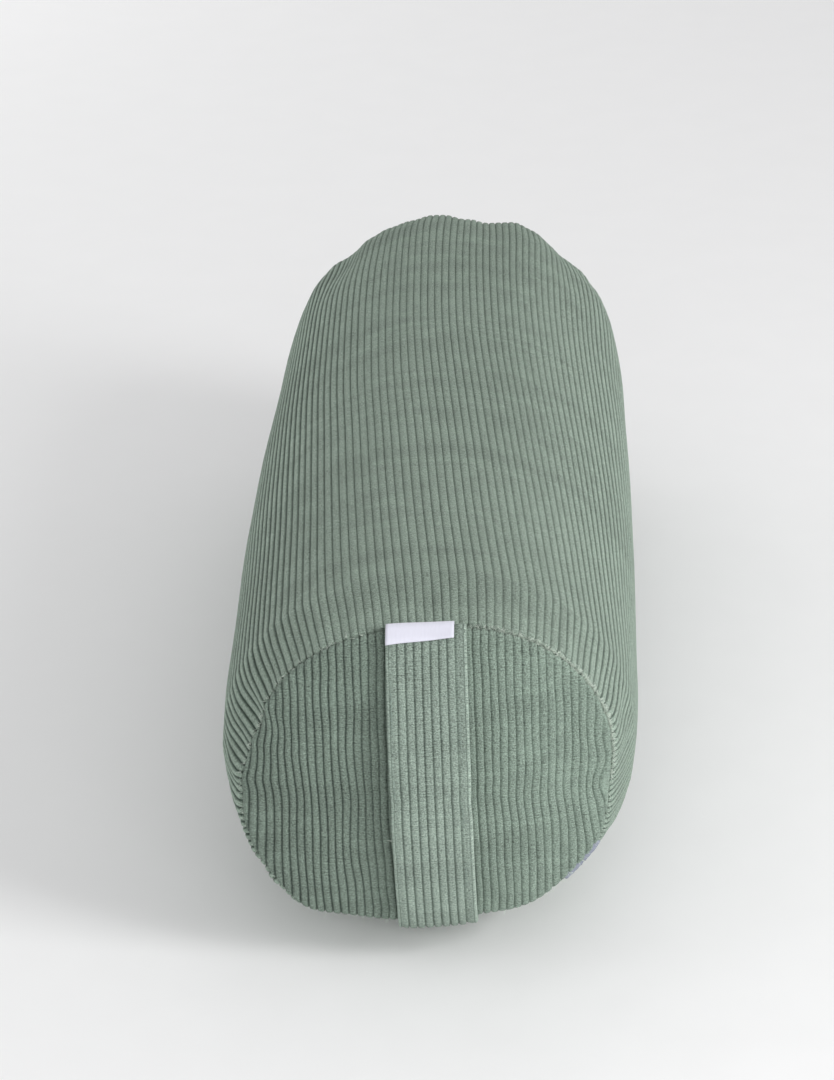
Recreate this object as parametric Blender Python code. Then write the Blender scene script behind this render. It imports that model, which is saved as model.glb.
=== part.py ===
"""Round yoga bolster with a carry strap on one end and a zip along its lower side.

Metres, +Z up. The bolster lies along Y with the strap end at -Y, and rests on z = 0.
Every cloth piece is a thick sheet: two grids of points, one per face, closed at the rims.
A place in the cover is given by s (way round the section, from the middle of the zip),
by a station along the length, and by the depth under the outside of the cover.
"""
import math

import bpy
import numpy as np

# Overall sizes
WIDTH = 0.224               # across X, lying
HEIGHT = 0.200              # floor to top, lying
SEAM_TO_SEAM = 0.610        # between the two end seams
SECTION_POWER = 2.14        # 2 is an ellipse, more is squarer
MIDDLE_HEIGHT = 0.093       # height of the widest point
SAG = 0.006                 # how far the resting side is pressed flat
SAG_BLEND = 0.004           # softness of the edge of that flat
ROUNDING = 0.115            # length over which each end is drawn in
FOOT_FROM = 0.30            # the resting side rises to the seam on a gentler curve,
FOOT_FULL = 1.00            # from this much facing down to this much
SEAM_WIDE = 0.1930          # the end seam rings, across
SEAM_TOP = 0.1890           # their highest point
SEAM_FOOT = 0.0250          # their lowest point
SEAM_POWER = 2.20
SEAM_SHIFT = 0.0012         # the near ring sits this far to +X, the far one to -X
LEAN = 0.100                # the near end leans back, per metre of height
TURN = 0.108                # and is turned back on the +X side, per metre across
CROWN = 0.0145              # rise of an end disc from its rim to its middle

# Cloth
GAP = 0.0003                # between pieces that touch
CLOTH = 0.0016              # corduroy, pile included
LINING = 0.0005             # cotton of the inner pillow
ALLOWANCE = 0.010           # turned in at the end seams
PILLOW_SHORT = 0.007        # the pillow ends this far before the seam
PILLOW_IN = 0.014           # and its seam lies this far inside the seam ring
PILLOW_RINGS = (0.24, 0.46, 0.62)
SHOULDER_RING = 0.755       # where the pillow's end turns down to its seam,
SHOULDER_OUT = 0.0045       # and how far that stands past the cover's seam
PILLOW_LAP = 0.0002         # between the pillow's end and wall at their seam

# Zip in the closing seam of the body panel
ZIP_DEG = -34.0             # direction that the zip faces, from +X
SLOT = 0.0112               # between the folded edges of the panel
HEM = 0.0112                # width turned under at each edge
TAPE_WIDE = 0.0160
TAPE_THICK = 0.0006
TAPE_FRAY = 0.0022          # tape end standing out of the near seam
TAPE_STUB = 0.0005          # and out of the far one
TAPE_ROOM = 0.016           # each seam opens for the tape over this width beside it,
TAPE_EASE = 0.010           # and closes over this
COIL_WIDE = 0.0024
COIL_HIGH = 0.0020
COIL_HALF_GAP = 0.0008      # from the middle to each row of the coil
COIL_ROUND = 0.22           # rounding of the coil, as a share of its width
STOP_BACK = 0.001           # the stops stand this far inside the straight part
STOP_LONG = 0.0040
STOP_HIGH = 0.0009          # thickness over the coil
STOP_SIDE = 0.0009          # and beside it
SLIDER_LONG = 0.0115
SLIDER_WIDE = 0.0094
PLATE = 0.0011
METAL_EDGE = 0.0003         # rounding of the slider, the pull and the stops
POST = 0.0008
BAIL_LONG = 0.0076
BAIL_WIDE = 0.0016
BAIL_BAR = 0.0010
PIN = 0.0010                # bar of the pull, inside the bail
PIN_HIGH = 0.0011           # its axis, above the upper plate
EYE_PLAY = 0.0006           # room round the bail in the pull's eye
PULL_LONG = 0.0215
PULL_WIDE = 0.0062
PULL_THICK = 0.0012

# Carry strap and label on the near end
STRAP_WIDE = 0.0415
STRAP_THICK = 0.0035
STRAP_IN_SEAM = 0.0014      # pressed thickness inside the seam
STRAP_CAUGHT = 0.006        # length inside the seam
STRAP_ROOM = 0.034          # the seam opens for the strap over this width beside it,
STRAP_EASE = 0.018          # and closes over this
STRAP_PROUD = 0.0110        # most room between the strap and the disc
STRAP_HIGH_SIDE = 0.80      # under 1 the most room lies above the middle
STRAP_TOP_X = 0.0027
STRAP_FOOT_X = 0.0060
LABEL_WIDE = 0.035
LABEL_X = -0.0030           # from the strap's middle
LABEL_LAYER = 0.00035
LABEL_CAUGHT = 0.004
LABEL_DROP = 0.0070         # length below the strap's top bend
LABEL_TILT = 0.070          # the right corner lies this much higher, per width

# How finely the shapes are cut
COLUMNS = 33                # round the section, outside the zip
END_ANGLES = (0, 34, 57, 73, 84, 90)
DISC_RINGS = (0.26, 0.50, 0.72, 0.89)
STRAP_STATIONS = (0.07, 0.16, 0.28, 0.42, 0.56, 0.70, 0.83, 0.93)

HALF = SEAM_TO_SEAM / 2
SEAM_MIDDLE = (SEAM_TOP + SEAM_FOOT) / 2
STRAIGHT = HALF - ROUNDING
STOP_AT = STRAIGHT - STOP_BACK
FOLD = 2 * CLOTH + GAP      # a folded edge
TAPE_TOP = FOLD + GAP       # depth of the tape's outer face
TAPE_LOW = TAPE_TOP + TAPE_THICK
LANE_DEPTH = TAPE_LOW + 2 * GAP + PLATE + GAP
LABEL_THICK = 2 * LABEL_LAYER + GAP


def smooth(t):
    """0 to 1 with soft ends."""
    t = np.clip(t, 0.0, 1.0)
    return t * t * (3 - 2 * t)


# Section of the bolster
def section_points():
    """Closed outline in X and Z, anticlockwise from +X, flat where it rests."""
    t = np.linspace(0, 2 * math.pi, 2881)
    c = np.cos(t)
    s = np.sin(t)
    p = 2 / SECTION_POWER
    x = WIDTH / 2 * np.sign(c) * np.abs(c) ** p
    up = (HEIGHT - MIDDLE_HEIGHT) * np.abs(s) ** p
    down = MIDDLE_HEIGHT - (MIDDLE_HEIGHT + SAG) * np.abs(s) ** p
    soft = np.clip(1 - np.abs(down) / SAG_BLEND, 0, 1)
    down = np.maximum(down, 0) + soft ** 2 * SAG_BLEND / 4
    z = np.where(s >= 0, MIDDLE_HEIGHT + up, down)
    return np.stack([x, z], 1)


OUTLINE = section_points()
STEPS = np.linalg.norm(np.diff(OUTLINE, axis=0), axis=1)
ARC = np.concatenate([[0], np.cumsum(STEPS)])
GIRTH = ARC[-1]
SLOPE = np.gradient(OUTLINE, ARC, axis=0)
SLOPE[0] = SLOPE[-1] = (0, 1)
FACING = np.degrees(np.unwrap(np.arctan2(-SLOPE[:, 0], SLOPE[:, 1])))
ZIP_ARC = float(np.interp(ZIP_DEG % 360, FACING, ARC))


def on_section(s):
    """Point and outward direction, in X and Z, at arc length s from the zip."""
    a = (np.asarray(s, float) + ZIP_ARC) % GIRTH
    point = np.stack([np.interp(a, ARC, OUTLINE[:, k]) for k in (0, 1)], -1)
    along = np.stack([np.interp(a, ARC, SLOPE[:, k]) for k in (0, 1)], -1)
    along /= np.linalg.norm(along, axis=-1, keepdims=True)
    return point, np.stack([along[..., 1], -along[..., 0]], -1)


def draw_in(s, end):
    """How far an end's seam ring lies inside the section here, found by halving."""
    point, out = on_section(s)
    near = np.zeros(point.shape[:-1])
    far = np.full(point.shape[:-1], WIDTH / 4)
    for _ in range(32):
        half = (near + far) / 2
        tried = point - out * half[..., None]
        across = np.abs((tried[..., 0] + end * SEAM_SHIFT) / (SEAM_WIDE / 2)) ** SEAM_POWER
        up = np.abs((tried[..., 1] - SEAM_MIDDLE) / (SEAM_TOP - SEAM_MIDDLE)) ** SEAM_POWER
        inside = across + up < 1
        far = np.where(inside, half, far)
        near = np.where(inside, near, half)
    return far


def seam_room(s, end):
    """How far the panel's turned-in end stands back for what the seam has caught."""
    s = np.asarray(s, float)
    point, _ = on_section(s)
    far = np.abs((s + GIRTH / 2) % GIRTH - GIRTH / 2)
    tape = smooth((TAPE_WIDE + TAPE_ROOM - far) / TAPE_EASE) * (TAPE_THICK + GAP)
    if end > 0:
        return tape
    side = np.abs(point[..., 0] - (STRAP_TOP_X + STRAP_FOOT_X) / 2)
    near_strap = smooth((STRAP_WIDE / 2 + STRAP_ROOM - side) / STRAP_EASE)
    strap = near_strap * (STRAP_IN_SEAM + GAP)
    label = near_strap * (LABEL_THICK + GAP)
    top = point[..., 1] > MIDDLE_HEIGHT
    return np.maximum(tape, strap + np.where(top, label, 0))


def place(s, inset, y):
    """World point at arc length s, this far inside the section, at this Y."""
    s, inset, y = np.broadcast_arrays(s, inset, y)
    point, out = on_section(s)
    flat = point - out * inset[..., None]
    return np.stack([flat[..., 0], y, flat[..., 1]], -1)


def disc_place(s, scale, y):
    """World point on an end disc: the seam ring scaled about its middle."""
    end = 1 if y > 0 else -1
    ring = place(s, draw_in(s, end), y)
    middle = np.array([-end * SEAM_SHIFT, 0, SEAM_MIDDLE])
    shrunk = (ring - middle) * (scale, 1, scale) + middle
    shrunk[..., 1] = y
    return shrunk


# Stations of a layer: middle part, drawn-in end, allowance turned in
def drawn_share(s, a):
    """Share of the whole draw-in reached at this end angle: a quarter round, softer below."""
    _, out = on_section(s)
    below = smooth((-out[..., 1] - FOOT_FROM) / (FOOT_FULL - FOOT_FROM))
    return (1 - math.cos(a)) * (1 - below) + math.sin(a) ** 2 * below


def layer_end(s, depth, end):
    """One end of a layer at this depth, from the middle outwards, as place() points."""
    drawn = draw_in(s, end)
    seam = HALF - seam_room(s, end)
    rows = []
    for angle in END_ANGLES:
        a = math.radians(angle)
        y = STRAIGHT + (seam - STRAIGHT - depth) * math.sin(a)
        rows.append(place(s, depth + drawn * drawn_share(s, a), end * y))
    rows.append(place(s, drawn + ALLOWANCE, end * (seam - depth)))
    return rows


def layer(s, depth):
    """A whole layer from the far end to the near end: a row of points per station."""
    return np.array(layer_end(s, depth, 1)[::-1] + layer_end(s, depth, -1))


def turned(count, start, stop):
    """Sines and cosines at even angles between two, in degrees."""
    a = np.radians(np.linspace(start, stop, count))
    return np.cos(a), np.sin(a)


# Meshes
def sheet_faces(rows, cols, wrap):
    """Triangles of a grid of points, every cell cut the same way so that layers nest."""
    span = cols if wrap else cols - 1
    faces = []
    for i in range(rows - 1):
        for j in range(span):
            k = (j + 1) % cols
            faces.append((i * cols + j, i * cols + k, (i + 1) * cols + k))
            faces.append((i * cols + j, (i + 1) * cols + k, (i + 1) * cols + j))
    return faces


def signed_volume(points, faces):
    """Positive when the faces turn outwards."""
    total = 0.0
    for face in faces:
        for j in range(1, len(face) - 1):
            a, b, c = points[face[0]], points[face[j]], points[face[j + 1]]
            total += float(np.dot(a, np.cross(b, c)))
    return total


def material(name, colour, roughness, metallic=0.0):
    """Principled material from sRGB hex."""
    mat = bpy.data.materials.new(name)
    mat.use_nodes = True
    levels = [int(colour[i:i + 2], 16) / 255 for i in (0, 2, 4)]
    linear = [((v + 0.055) / 1.055) ** 2.4 if v > 0.04045 else v / 12.92 for v in levels]
    shader = mat.node_tree.nodes["Principled BSDF"]
    shader.inputs["Base Color"].default_value = (*linear, 1)
    shader.inputs["Roughness"].default_value = roughness
    shader.inputs["Metallic"].default_value = metallic
    mat.diffuse_color = (*linear, 1)
    return mat


def leaned(points):
    """The near end leaning back and turned, as it lies in its natural slump."""
    moved = np.array(points, float)
    share = smooth((-moved[:, 1] - STRAIGHT) / ROUNDING)
    moved[:, 1] += share * (LEAN * (moved[:, 2] - SEAM_MIDDLE) + TURN * moved[:, 0])
    return moved


def add_object(name, points, faces, mat, origin=(0, 0, 0), crease=45):
    """One closed body as an object with its origin where asked."""
    points = leaned(points)
    if signed_volume(points, faces) < 0:
        faces = [tuple(reversed(face)) for face in faces]
    mesh = bpy.data.meshes.new(name)
    mesh.from_pydata((points - np.array(origin)).tolist(), [], [list(f) for f in faces])
    mesh.validate()
    mesh.shade_smooth()
    mesh.set_sharp_from_angle(angle=math.radians(crease))
    mesh.materials.append(mat)
    obj = bpy.data.objects.new(name, mesh)
    obj.location = origin
    bpy.context.scene.collection.objects.link(obj)
    return obj


def thick_sheet(name, outer, inner, mat, wrap=False, poles=None):
    """A closed sheet between two grids of points. Poles close the first row to a point."""
    rows, cols = outer.shape[:2]
    n = rows * cols
    points = np.concatenate([outer.reshape(-1, 3), inner.reshape(-1, 3)])
    top = sheet_faces(rows, cols, wrap)
    faces = top + [tuple(v + n for v in reversed(face)) for face in top]
    span = cols if wrap else cols - 1
    last = (rows - 1) * cols
    for j in range(span):
        k = (j + 1) % cols
        faces.append((last + j, last + k, n + last + k, n + last + j))
        if poles is None:
            faces.append((k, j, n + j, n + k))
        else:
            faces.append((2 * n, k, j))
            faces.append((2 * n + 1, n + j, n + k))
    if poles is not None:
        points = np.concatenate([points, np.array(poles)])
    if not wrap:
        for i in range(rows - 1):
            a = i * cols
            b = a + cols
            faces.append((a, b, n + b, n + a))
            faces.append((b + cols - 1, a + cols - 1, n + a + cols - 1, n + b + cols - 1))
    return add_object(name, points, faces, mat)


def tube(name, loops, mat, poles=None):
    """A bar through closed loops of points, its ends flat or drawn to a point."""
    loops = np.asarray(loops)
    rows, cols = loops.shape[:2]
    faces = sheet_faces(rows, cols, True)
    points = loops.reshape(-1, 3)
    last = (rows - 1) * cols
    if poles is None:
        faces.append(tuple(range(cols - 1, -1, -1)))
        faces.append(tuple(range(last, last + cols)))
        return add_object(name, points, faces, mat)
    n = rows * cols
    for j in range(cols):
        k = (j + 1) % cols
        faces.append((n, k, j))
        faces.append((n + 1, last + j, last + k))
    return add_object(name, np.concatenate([points, np.array(poles)]), faces, mat)


# Columns round the section
EDGE = SLOT / 2
ZIP_COLUMNS = (0, EDGE + CLOTH, EDGE + HEM / 2, EDGE + HEM)
FIRST = EDGE + HEM + 0.006
MAIN_COLUMNS = np.linspace(FIRST, GIRTH - FIRST, COLUMNS)
CLOSED = np.concatenate([ZIP_COLUMNS, MAIN_COLUMNS, [GIRTH - s for s in ZIP_COLUMNS[:0:-1]]])


# Cover
def hem_chains():
    """Way round (s) and depth of both faces at one folded edge, from the raw end."""
    centre = EDGE + FOLD / 2
    cos, sin = turned(5, 90, -90)
    back = [EDGE + HEM, EDGE + HEM / 2]
    outer_s = np.concatenate([back, centre - FOLD / 2 * cos])
    outer_d = np.concatenate([[FOLD, FOLD], FOLD / 2 + FOLD / 2 * sin])
    inner_s = np.concatenate([back, centre - GAP / 2 * cos])
    inner_d = np.concatenate([[FOLD - CLOTH] * 2, FOLD / 2 + GAP / 2 * sin])
    ahead = [EDGE + HEM / 2, EDGE + HEM]
    outer = np.stack([np.append(outer_s, ahead), np.append(outer_d, [0, 0])])
    inner = np.stack([np.append(inner_s, ahead), np.append(inner_d, [CLOTH] * 2)])
    return outer, inner


def body_panel(mat):
    """The corduroy wrapped round the pillow, folded under at the zip and at both ends."""
    grids = []
    for hem, depth in zip(hem_chains(), (0, CLOTH)):
        s = np.concatenate([hem[0], MAIN_COLUMNS, GIRTH - hem[0][::-1]])
        d = np.concatenate([hem[1], np.full(COLUMNS, depth), hem[1][::-1]])
        grids.append(layer(s, d))
    return thick_sheet("cover_body_panel", grids[0], grids[1], mat)


def rim_rows(s, end, radius, count):
    """Rows round the folded rim of a disc, from its front face to its allowance."""
    drawn = draw_in(s, end)
    centre_y = HALF + GAP + FOLD / 2
    cos, sin = turned(count, 80, -90)
    rows = []
    for c, v in zip(cos, sin):
        inset = drawn + GAP + FOLD / 2 - radius * c
        rows.append(place(s, inset, end * (centre_y + radius * v)))
    return rows


def dome(scale, under=0.0):
    """Y of an end disc at this share of its size, from the middle of the bolster."""
    return HALF + GAP + FOLD + CROWN * (1 - scale ** 2) - under


def end_disc(name, end, mat):
    """A crowned disc whose rim turns back under itself into the seam."""
    grids = []
    for under, radius in ((0.0, FOLD / 2), (CLOTH, GAP / 2)):
        rows = [disc_place(CLOSED, k, end * dome(k, under)) for k in DISC_RINGS]
        rows += rim_rows(CLOSED, end, radius, 5)
        y = HALF + GAP + under
        rows.append(place(CLOSED, draw_in(CLOSED, end) + ALLOWANCE, end * y))
        grids.append(np.array(rows))
    poles = [(-end * SEAM_SHIFT, end * dome(0, u), SEAM_MIDDLE) for u in (0, CLOTH)]
    return thick_sheet(name, grids[0], grids[1], mat, wrap=True, poles=poles)


# Inner pillow
def pillow_depth(s):
    """Depth of the pillow: against the cover, deeper under the zip and its slider."""
    far = np.abs((np.asarray(s, float) + GIRTH / 2) % GIRTH - GIRTH / 2)
    depth = np.full(far.shape, CLOTH + GAP)
    tape = TAPE_LOW + GAP
    depth = np.where(far < EDGE + HEM + 0.001, tape, depth)
    return np.where(far < EDGE + CLOTH + 0.0001, LANE_DEPTH + GAP, depth)


def pillow_rows(end, under):
    """Rows of the pillow's wall from its straight part to its seam."""
    start = pillow_depth(CLOSED) + under
    stop = draw_in(CLOSED, end) + PILLOW_IN
    rows = []
    for angle in END_ANGLES:
        a = math.radians(angle)
        y = STRAIGHT + (ROUNDING - PILLOW_SHORT - under) * math.sin(a)
        share = drawn_share(CLOSED, a)
        rows.append(place(CLOSED, start + (stop - start) * share, end * y))
    return rows


def pillow_cap_rows(end, under):
    """Rows of the pillow's end from its middle to its seam."""
    rows = []
    for k in PILLOW_RINGS:
        rows.append(disc_place(CLOSED, k, end * dome(k, CLOTH + 2 * GAP + under)))
    y = HALF + SHOULDER_OUT - under
    rows.append(disc_place(CLOSED, SHOULDER_RING, end * y))
    y = HALF - PILLOW_SHORT + GAP + LINING - under
    rows.append(place(CLOSED, draw_in(CLOSED, end) + PILLOW_IN + PILLOW_LAP, end * y))
    return rows


def pillow_pole(end, under):
    """Middle of the pillow's end."""
    return (-end * SEAM_SHIFT, end * dome(0, CLOTH + 2 * GAP + under), SEAM_MIDDLE)


def pillow(lining, kapok):
    """Cotton wall, two cotton ends and the kapok inside them."""
    walls = []
    for under in (0, LINING):
        far = pillow_rows(1, under)
        near = pillow_rows(-1, under)
        walls.append(np.array(far[::-1] + near))
    thick_sheet("liner_body_panel", walls[0], walls[1], lining, wrap=True)
    for name, end in (("liner_front_disc", -1), ("liner_back_disc", 1)):
        grids = [np.array(pillow_cap_rows(end, under)) for under in (0, LINING)]
        poles = [pillow_pole(end, under) for under in (0, LINING)]
        thick_sheet(name, grids[0], grids[1], lining, wrap=True, poles=poles)
    inside = LINING + GAP
    loops = pillow_cap_rows(1, inside + GAP)[:-1] + pillow_rows(1, inside)[::-1]
    loops += pillow_rows(-1, inside) + pillow_cap_rows(-1, inside + GAP)[:-1][::-1]
    poles = [pillow_pole(1, inside), pillow_pole(-1, inside)]
    tube("kapok_filling", loops, kapok, poles)


# Zip
def tape_end(s, depth, end):
    """Tape past the drawn-in end: down the allowance, round it and out of the seam."""
    drawn = draw_in(s, end)
    seam = HALF - seam_room(s, end)
    reach = depth - FOLD / 2
    cos, sin = turned(5, -90, 90)
    rows = []
    for c, v in zip(cos, sin):
        inset = drawn + ALLOWANCE + GAP + reach * c
        rows.append(place(s, inset, end * (seam - FOLD / 2 + reach * v)))
    out = seam + reach - FOLD / 2
    fray = TAPE_FRAY if end < 0 else TAPE_STUB
    rows.append(place(s, drawn - fray, end * out))
    return rows


def tape(name, side, mat):
    """One half of the zip's tape, caught in both end seams."""
    half = np.array([COIL_HALF_GAP, EDGE, EDGE + HEM / 2, TAPE_WIDE])
    grids = []
    for depth in (TAPE_TOP, TAPE_LOW):
        far = layer_end(side * half, depth, 1)[:-1] + tape_end(side * half, depth, 1)
        near = layer_end(side * half, depth, -1)[:-1] + tape_end(side * half, depth, -1)
        grids.append(np.array(far[::-1] + near))
    return thick_sheet(name, grids[0], grids[1], mat)


def coil(name, side, mat):
    """One row of the coil, standing on its tape between the two end seams."""
    top = TAPE_TOP - GAP - COIL_HIGH
    low = TAPE_TOP - GAP
    cut = COIL_WIDE * COIL_ROUND
    near = COIL_HALF_GAP
    far = near + COIL_WIDE
    corners = [(near, top + cut), (near + cut, top), (far - cut, top), (far, top + cut)]
    corners += [(far, low), (near, low)]
    s = np.array([side * c[0] for c in corners])
    depth = np.array([c[1] for c in corners])
    far_rows = layer_end(s, depth, 1)[:-2]
    near_rows = layer_end(s, depth, -1)[:-2]
    return tube(name, far_rows[::-1] + near_rows, mat)


def zip_frame():
    """Middle of the zip on the cover's outside, and the way across and out, in X and Z."""
    point, out = on_section(0.0)
    return point, np.array([-out[1], out[0]]), out


def zip_point(across, y, height):
    """World point over the zip: across it, at this Y, this high above the cover."""
    point, side, out = zip_frame()
    flat = point + side * across + out * height
    return (flat[0], y, flat[1])


def zip_box(name, size, middle, mat, bevel=0.0):
    """Box whose sides follow the zip: across, along Y, and out of the cover."""
    corners = []
    for k in (-1, 1):
        for j in (-1, 1):
            for i in (-1, 1):
                a = middle[0] + i * size[0] / 2
                b = middle[1] + j * size[1] / 2
                c = middle[2] + k * size[2] / 2
                corners.append(zip_point(a, b, c))
    faces = [(0, 1, 3, 2), (4, 6, 7, 5), (0, 4, 5, 1), (2, 3, 7, 6), (0, 2, 6, 4), (1, 5, 7, 3)]
    obj = add_object(name, corners, faces, mat, origin=zip_point(*middle), crease=30)
    if bevel:
        mod = obj.modifiers.new("edges", "BEVEL")
        mod.width = bevel
        mod.segments = 2
        mod.limit_method = "ANGLE"
    return obj


def combine(target, helper, operation):
    """Boolean of a helper into a piece, the helper kept out of the render."""
    mod = target.modifiers.new(operation.lower(), "BOOLEAN")
    mod.operation = operation
    mod.solver = "EXACT"
    mod.object = helper
    helper.hide_render = True
    helper.display_type = "WIRE"


COIL_TOP = TAPE_TOP - GAP - COIL_HIGH
PLATE_LOW = -(COIL_TOP - GAP)           # height of the upper plate's inner face
PLATE_TOP = PLATE_LOW + PLATE
PIN_AT = PLATE_TOP + PIN_HIGH           # axis of the pull, above the cover
PARKED = STOP_AT - SLIDER_LONG / 2 - GAP


def slider(mat):
    """Two plates joined by a post, with flanges beside the coil and a bail on top."""
    low_top = -(TAPE_LOW + GAP)
    body = zip_box("zip_slider", (SLIDER_WIDE, SLIDER_LONG, PLATE),
                   (0, PARKED, PLATE_LOW + PLATE / 2), mat, bevel=METAL_EDGE)
    lower = zip_box("slider_lower_plate", (SLIDER_WIDE, SLIDER_LONG, PLATE),
                    (0, PARKED, low_top - PLATE / 2), mat, bevel=METAL_EDGE)
    combine(body, lower, "UNION")
    reach = PLATE_LOW - low_top + PLATE
    post = zip_box("slider_post", (POST, SLIDER_LONG * 0.3, reach),
                   (0, PARKED + SLIDER_LONG * 0.30, (PLATE_LOW + low_top) / 2), mat)
    combine(body, post, "UNION")
    flange_low = -(TAPE_TOP - GAP)
    tall = PLATE_LOW - flange_low + PLATE / 2
    wide = SLIDER_WIDE / 2 - (COIL_HALF_GAP + COIL_WIDE + GAP)
    for side in (-1, 1):
        flange = zip_box("slider_flange", (wide, SLIDER_LONG * 0.8, tall),
                         (side * (SLIDER_WIDE - wide) / 2, PARKED, flange_low + tall / 2), mat)
        combine(body, flange, "UNION")
    arch = 2 * PIN_HIGH + BAIL_BAR
    bail = zip_box("slider_bail", (BAIL_WIDE, BAIL_LONG, arch + PLATE / 2),
                   (0, PARKED, PLATE_TOP + arch / 2 - PLATE / 4), mat, bevel=METAL_EDGE)
    eye = zip_box("slider_bail_eye", (BAIL_WIDE * 3, BAIL_LONG - 2 * BAIL_BAR, arch - BAIL_BAR),
                  (0, PARKED, PLATE_TOP + (arch - BAIL_BAR) / 2), mat)
    combine(bail, eye, "DIFFERENCE")
    combine(body, bail, "UNION")


def pull(mat):
    """Tab with an eye round the bail. It hangs straight out of the cover."""
    eye_end = math.hypot(BAIL_LONG / 2, PIN_HIGH + BAIL_BAR) + EYE_PLAY
    start = -PIN / 2
    length = PULL_LONG - start
    tab = zip_box("zip_pull", (PULL_WIDE, PULL_THICK, length),
                  (0, PARKED, PIN_AT + start + length / 2), mat, bevel=METAL_EDGE)
    hole = zip_box("pull_eye", (BAIL_WIDE + 2 * EYE_PLAY, PULL_THICK * 3, eye_end - PIN / 2),
                   (0, PARKED, PIN_AT + PIN / 2 + (eye_end - PIN / 2) / 2), mat)
    combine(tab, hole, "DIFFERENCE")
    grip = zip_box("pull_grip", (PULL_WIDE * 0.55, PULL_THICK * 3, PULL_LONG * 0.34),
                   (0, PARKED, PIN_AT + PULL_LONG * 0.72), mat)
    combine(tab, grip, "DIFFERENCE")
    axis = np.array(zip_point(0, PARKED, PIN_AT))
    shift = np.array(tab.location) - axis
    for vertex in tab.data.vertices:
        vertex.co = np.array(vertex.co) + shift
    tab.location = axis


def stop(name, end, mat):
    """Thread bar sewn across both rows of the coil: the slider ends its way here."""
    top = -(COIL_TOP - GAP)
    low = -(TAPE_TOP - GAP)
    clear = COIL_HALF_GAP + COIL_WIDE + GAP
    tall = top + STOP_HIGH - low
    size = (2 * (clear + STOP_SIDE), STOP_LONG, tall)
    y = end * (STOP_AT + STOP_LONG / 2)
    bar = zip_box(name, size, (0, y, low + tall / 2), mat, bevel=METAL_EDGE)
    under = zip_box(name + "_coil_room", (2 * clear, STOP_LONG * 2, 2 * tall),
                    (0, y, top - tall), mat)
    combine(bar, under, "DIFFERENCE")


# Carry strap and label
def rim_heights(top_x, foot_x):
    """Z of the near disc's rim above one X and below another."""
    s = np.linspace(0, GIRTH, 4001)[:-1]
    ring = place(s, draw_in(s, -1) + GAP, 0.0)
    above = ring[:, 2] > SEAM_MIDDLE
    found = []
    for side, x in ((above, top_x), (~above, foot_x)):
        half = ring[side]
        half = half[np.argsort(half[:, 0])]
        found.append(float(np.interp(x, half[:, 0], half[:, 2])))
    return found


RIM_Y = HALF + GAP + FOLD / 2           # middle of the folded rim, from the middle


def rim_turn(rim_z, up):
    """The strap's way out of the seam and over the rim: middle line, thickness, facing."""
    centre = rim_z - up * FOLD / 2
    close = FOLD / 2 + GAP + STRAP_IN_SEAM / 2
    rows = [(RIM_Y - close, centre - up * STRAP_CAUGHT, STRAP_IN_SEAM, -1.0, 0.0)]
    for angle, share in ((180, 0.0), (140, 0.25), (100, 0.7), (58, 1.0)):
        thick = STRAP_IN_SEAM + (STRAP_THICK - STRAP_IN_SEAM) * share
        a = math.radians(angle)
        r = FOLD / 2 + GAP + thick / 2
        y = RIM_Y + r * math.cos(a)
        z = centre + up * r * math.sin(a)
        rows.append((y, z, thick, math.cos(a), up * math.sin(a)))
    return rows


def strap_line(x):
    """Middle line of the strap, this far across it, from the upper seam to the lower."""
    top, foot = rim_heights(x + STRAP_TOP_X, x + STRAP_FOOT_X)
    upper = rim_turn(top, 1)
    lower = rim_turn(foot, -1)[::-1]
    span = []
    for q in STRAP_STATIONS:
        z = upper[-1][1] + (lower[0][1] - upper[-1][1]) * q
        rise = z - SEAM_MIDDLE
        share = rise / (top - SEAM_MIDDLE) if rise > 0 else rise / (foot - SEAM_MIDDLE)
        proud = STRAP_PROUD * math.sin(math.pi * q ** STRAP_HIGH_SIDE) ** 0.75
        span.append((dome(share) + GAP + proud + STRAP_THICK / 2, z))
    chain = [upper[-1][:2]] + span + [lower[0][:2]]
    rows = []
    for before, here, after in zip(chain, span, chain[2:]):
        along = np.array([after[0] - before[0], after[1] - before[1]])
        along /= np.linalg.norm(along)
        rows.append((here[0], here[1], STRAP_THICK, -along[1], along[0]))
    return upper + rows + lower


def strap_x(z):
    """X of the strap's middle at this height: it is sewn a little askew."""
    share = np.clip((z - SEAM_FOOT) / (SEAM_TOP - SEAM_FOOT), 0, 1)
    return STRAP_FOOT_X + (STRAP_TOP_X - STRAP_FOOT_X) * share


def strap_section():
    """Both faces of the folded strip, across (share of half the width) and out."""
    half = STRAP_WIDE / 2
    round_in = half - STRAP_THICK / 2
    cos, sin = turned(5, 90, -90)
    flat = [round_in, half / 2, 0.0, -half / 2, -round_in]
    outer = [(half, 0.35)] + [(x, 1.0) for x in flat]
    outer += [(-round_in - (half - round_in) * c, v) for c, v in zip(cos[1:-1], sin[1:-1])]
    outer += [(x, -1.0) for x in flat[::-1]] + [(half, -0.35)]
    slit = 0.5 * GAP
    inner = [(half, slit)] + [(x, slit) for x in flat]
    inner += [(-round_in - slit * c, slit * v) for c, v in zip(cos[1:-1], sin[1:-1])]
    inner += [(x, -slit) for x in flat[::-1]] + [(half, -slit)]
    return outer, inner


def strap(mat):
    """Corduroy folded double, its ends in the end seam, standing off the disc."""
    outer, inner = strap_section()
    grids = []
    for chain, is_outer in ((outer, True), (inner, False)):
        columns = []
        for x, v in chain:
            column = []
            for y, z, thick, out_y, out_z in strap_line(x):
                h = v * thick / 2 if is_outer else v
                column.append((x + strap_x(z), -(y + h * out_y), z + h * out_z))
            columns.append(column)
        grids.append(np.array(columns).transpose(1, 0, 2))
    return thick_sheet("handle_strap", grids[0], grids[1], mat)


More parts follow.
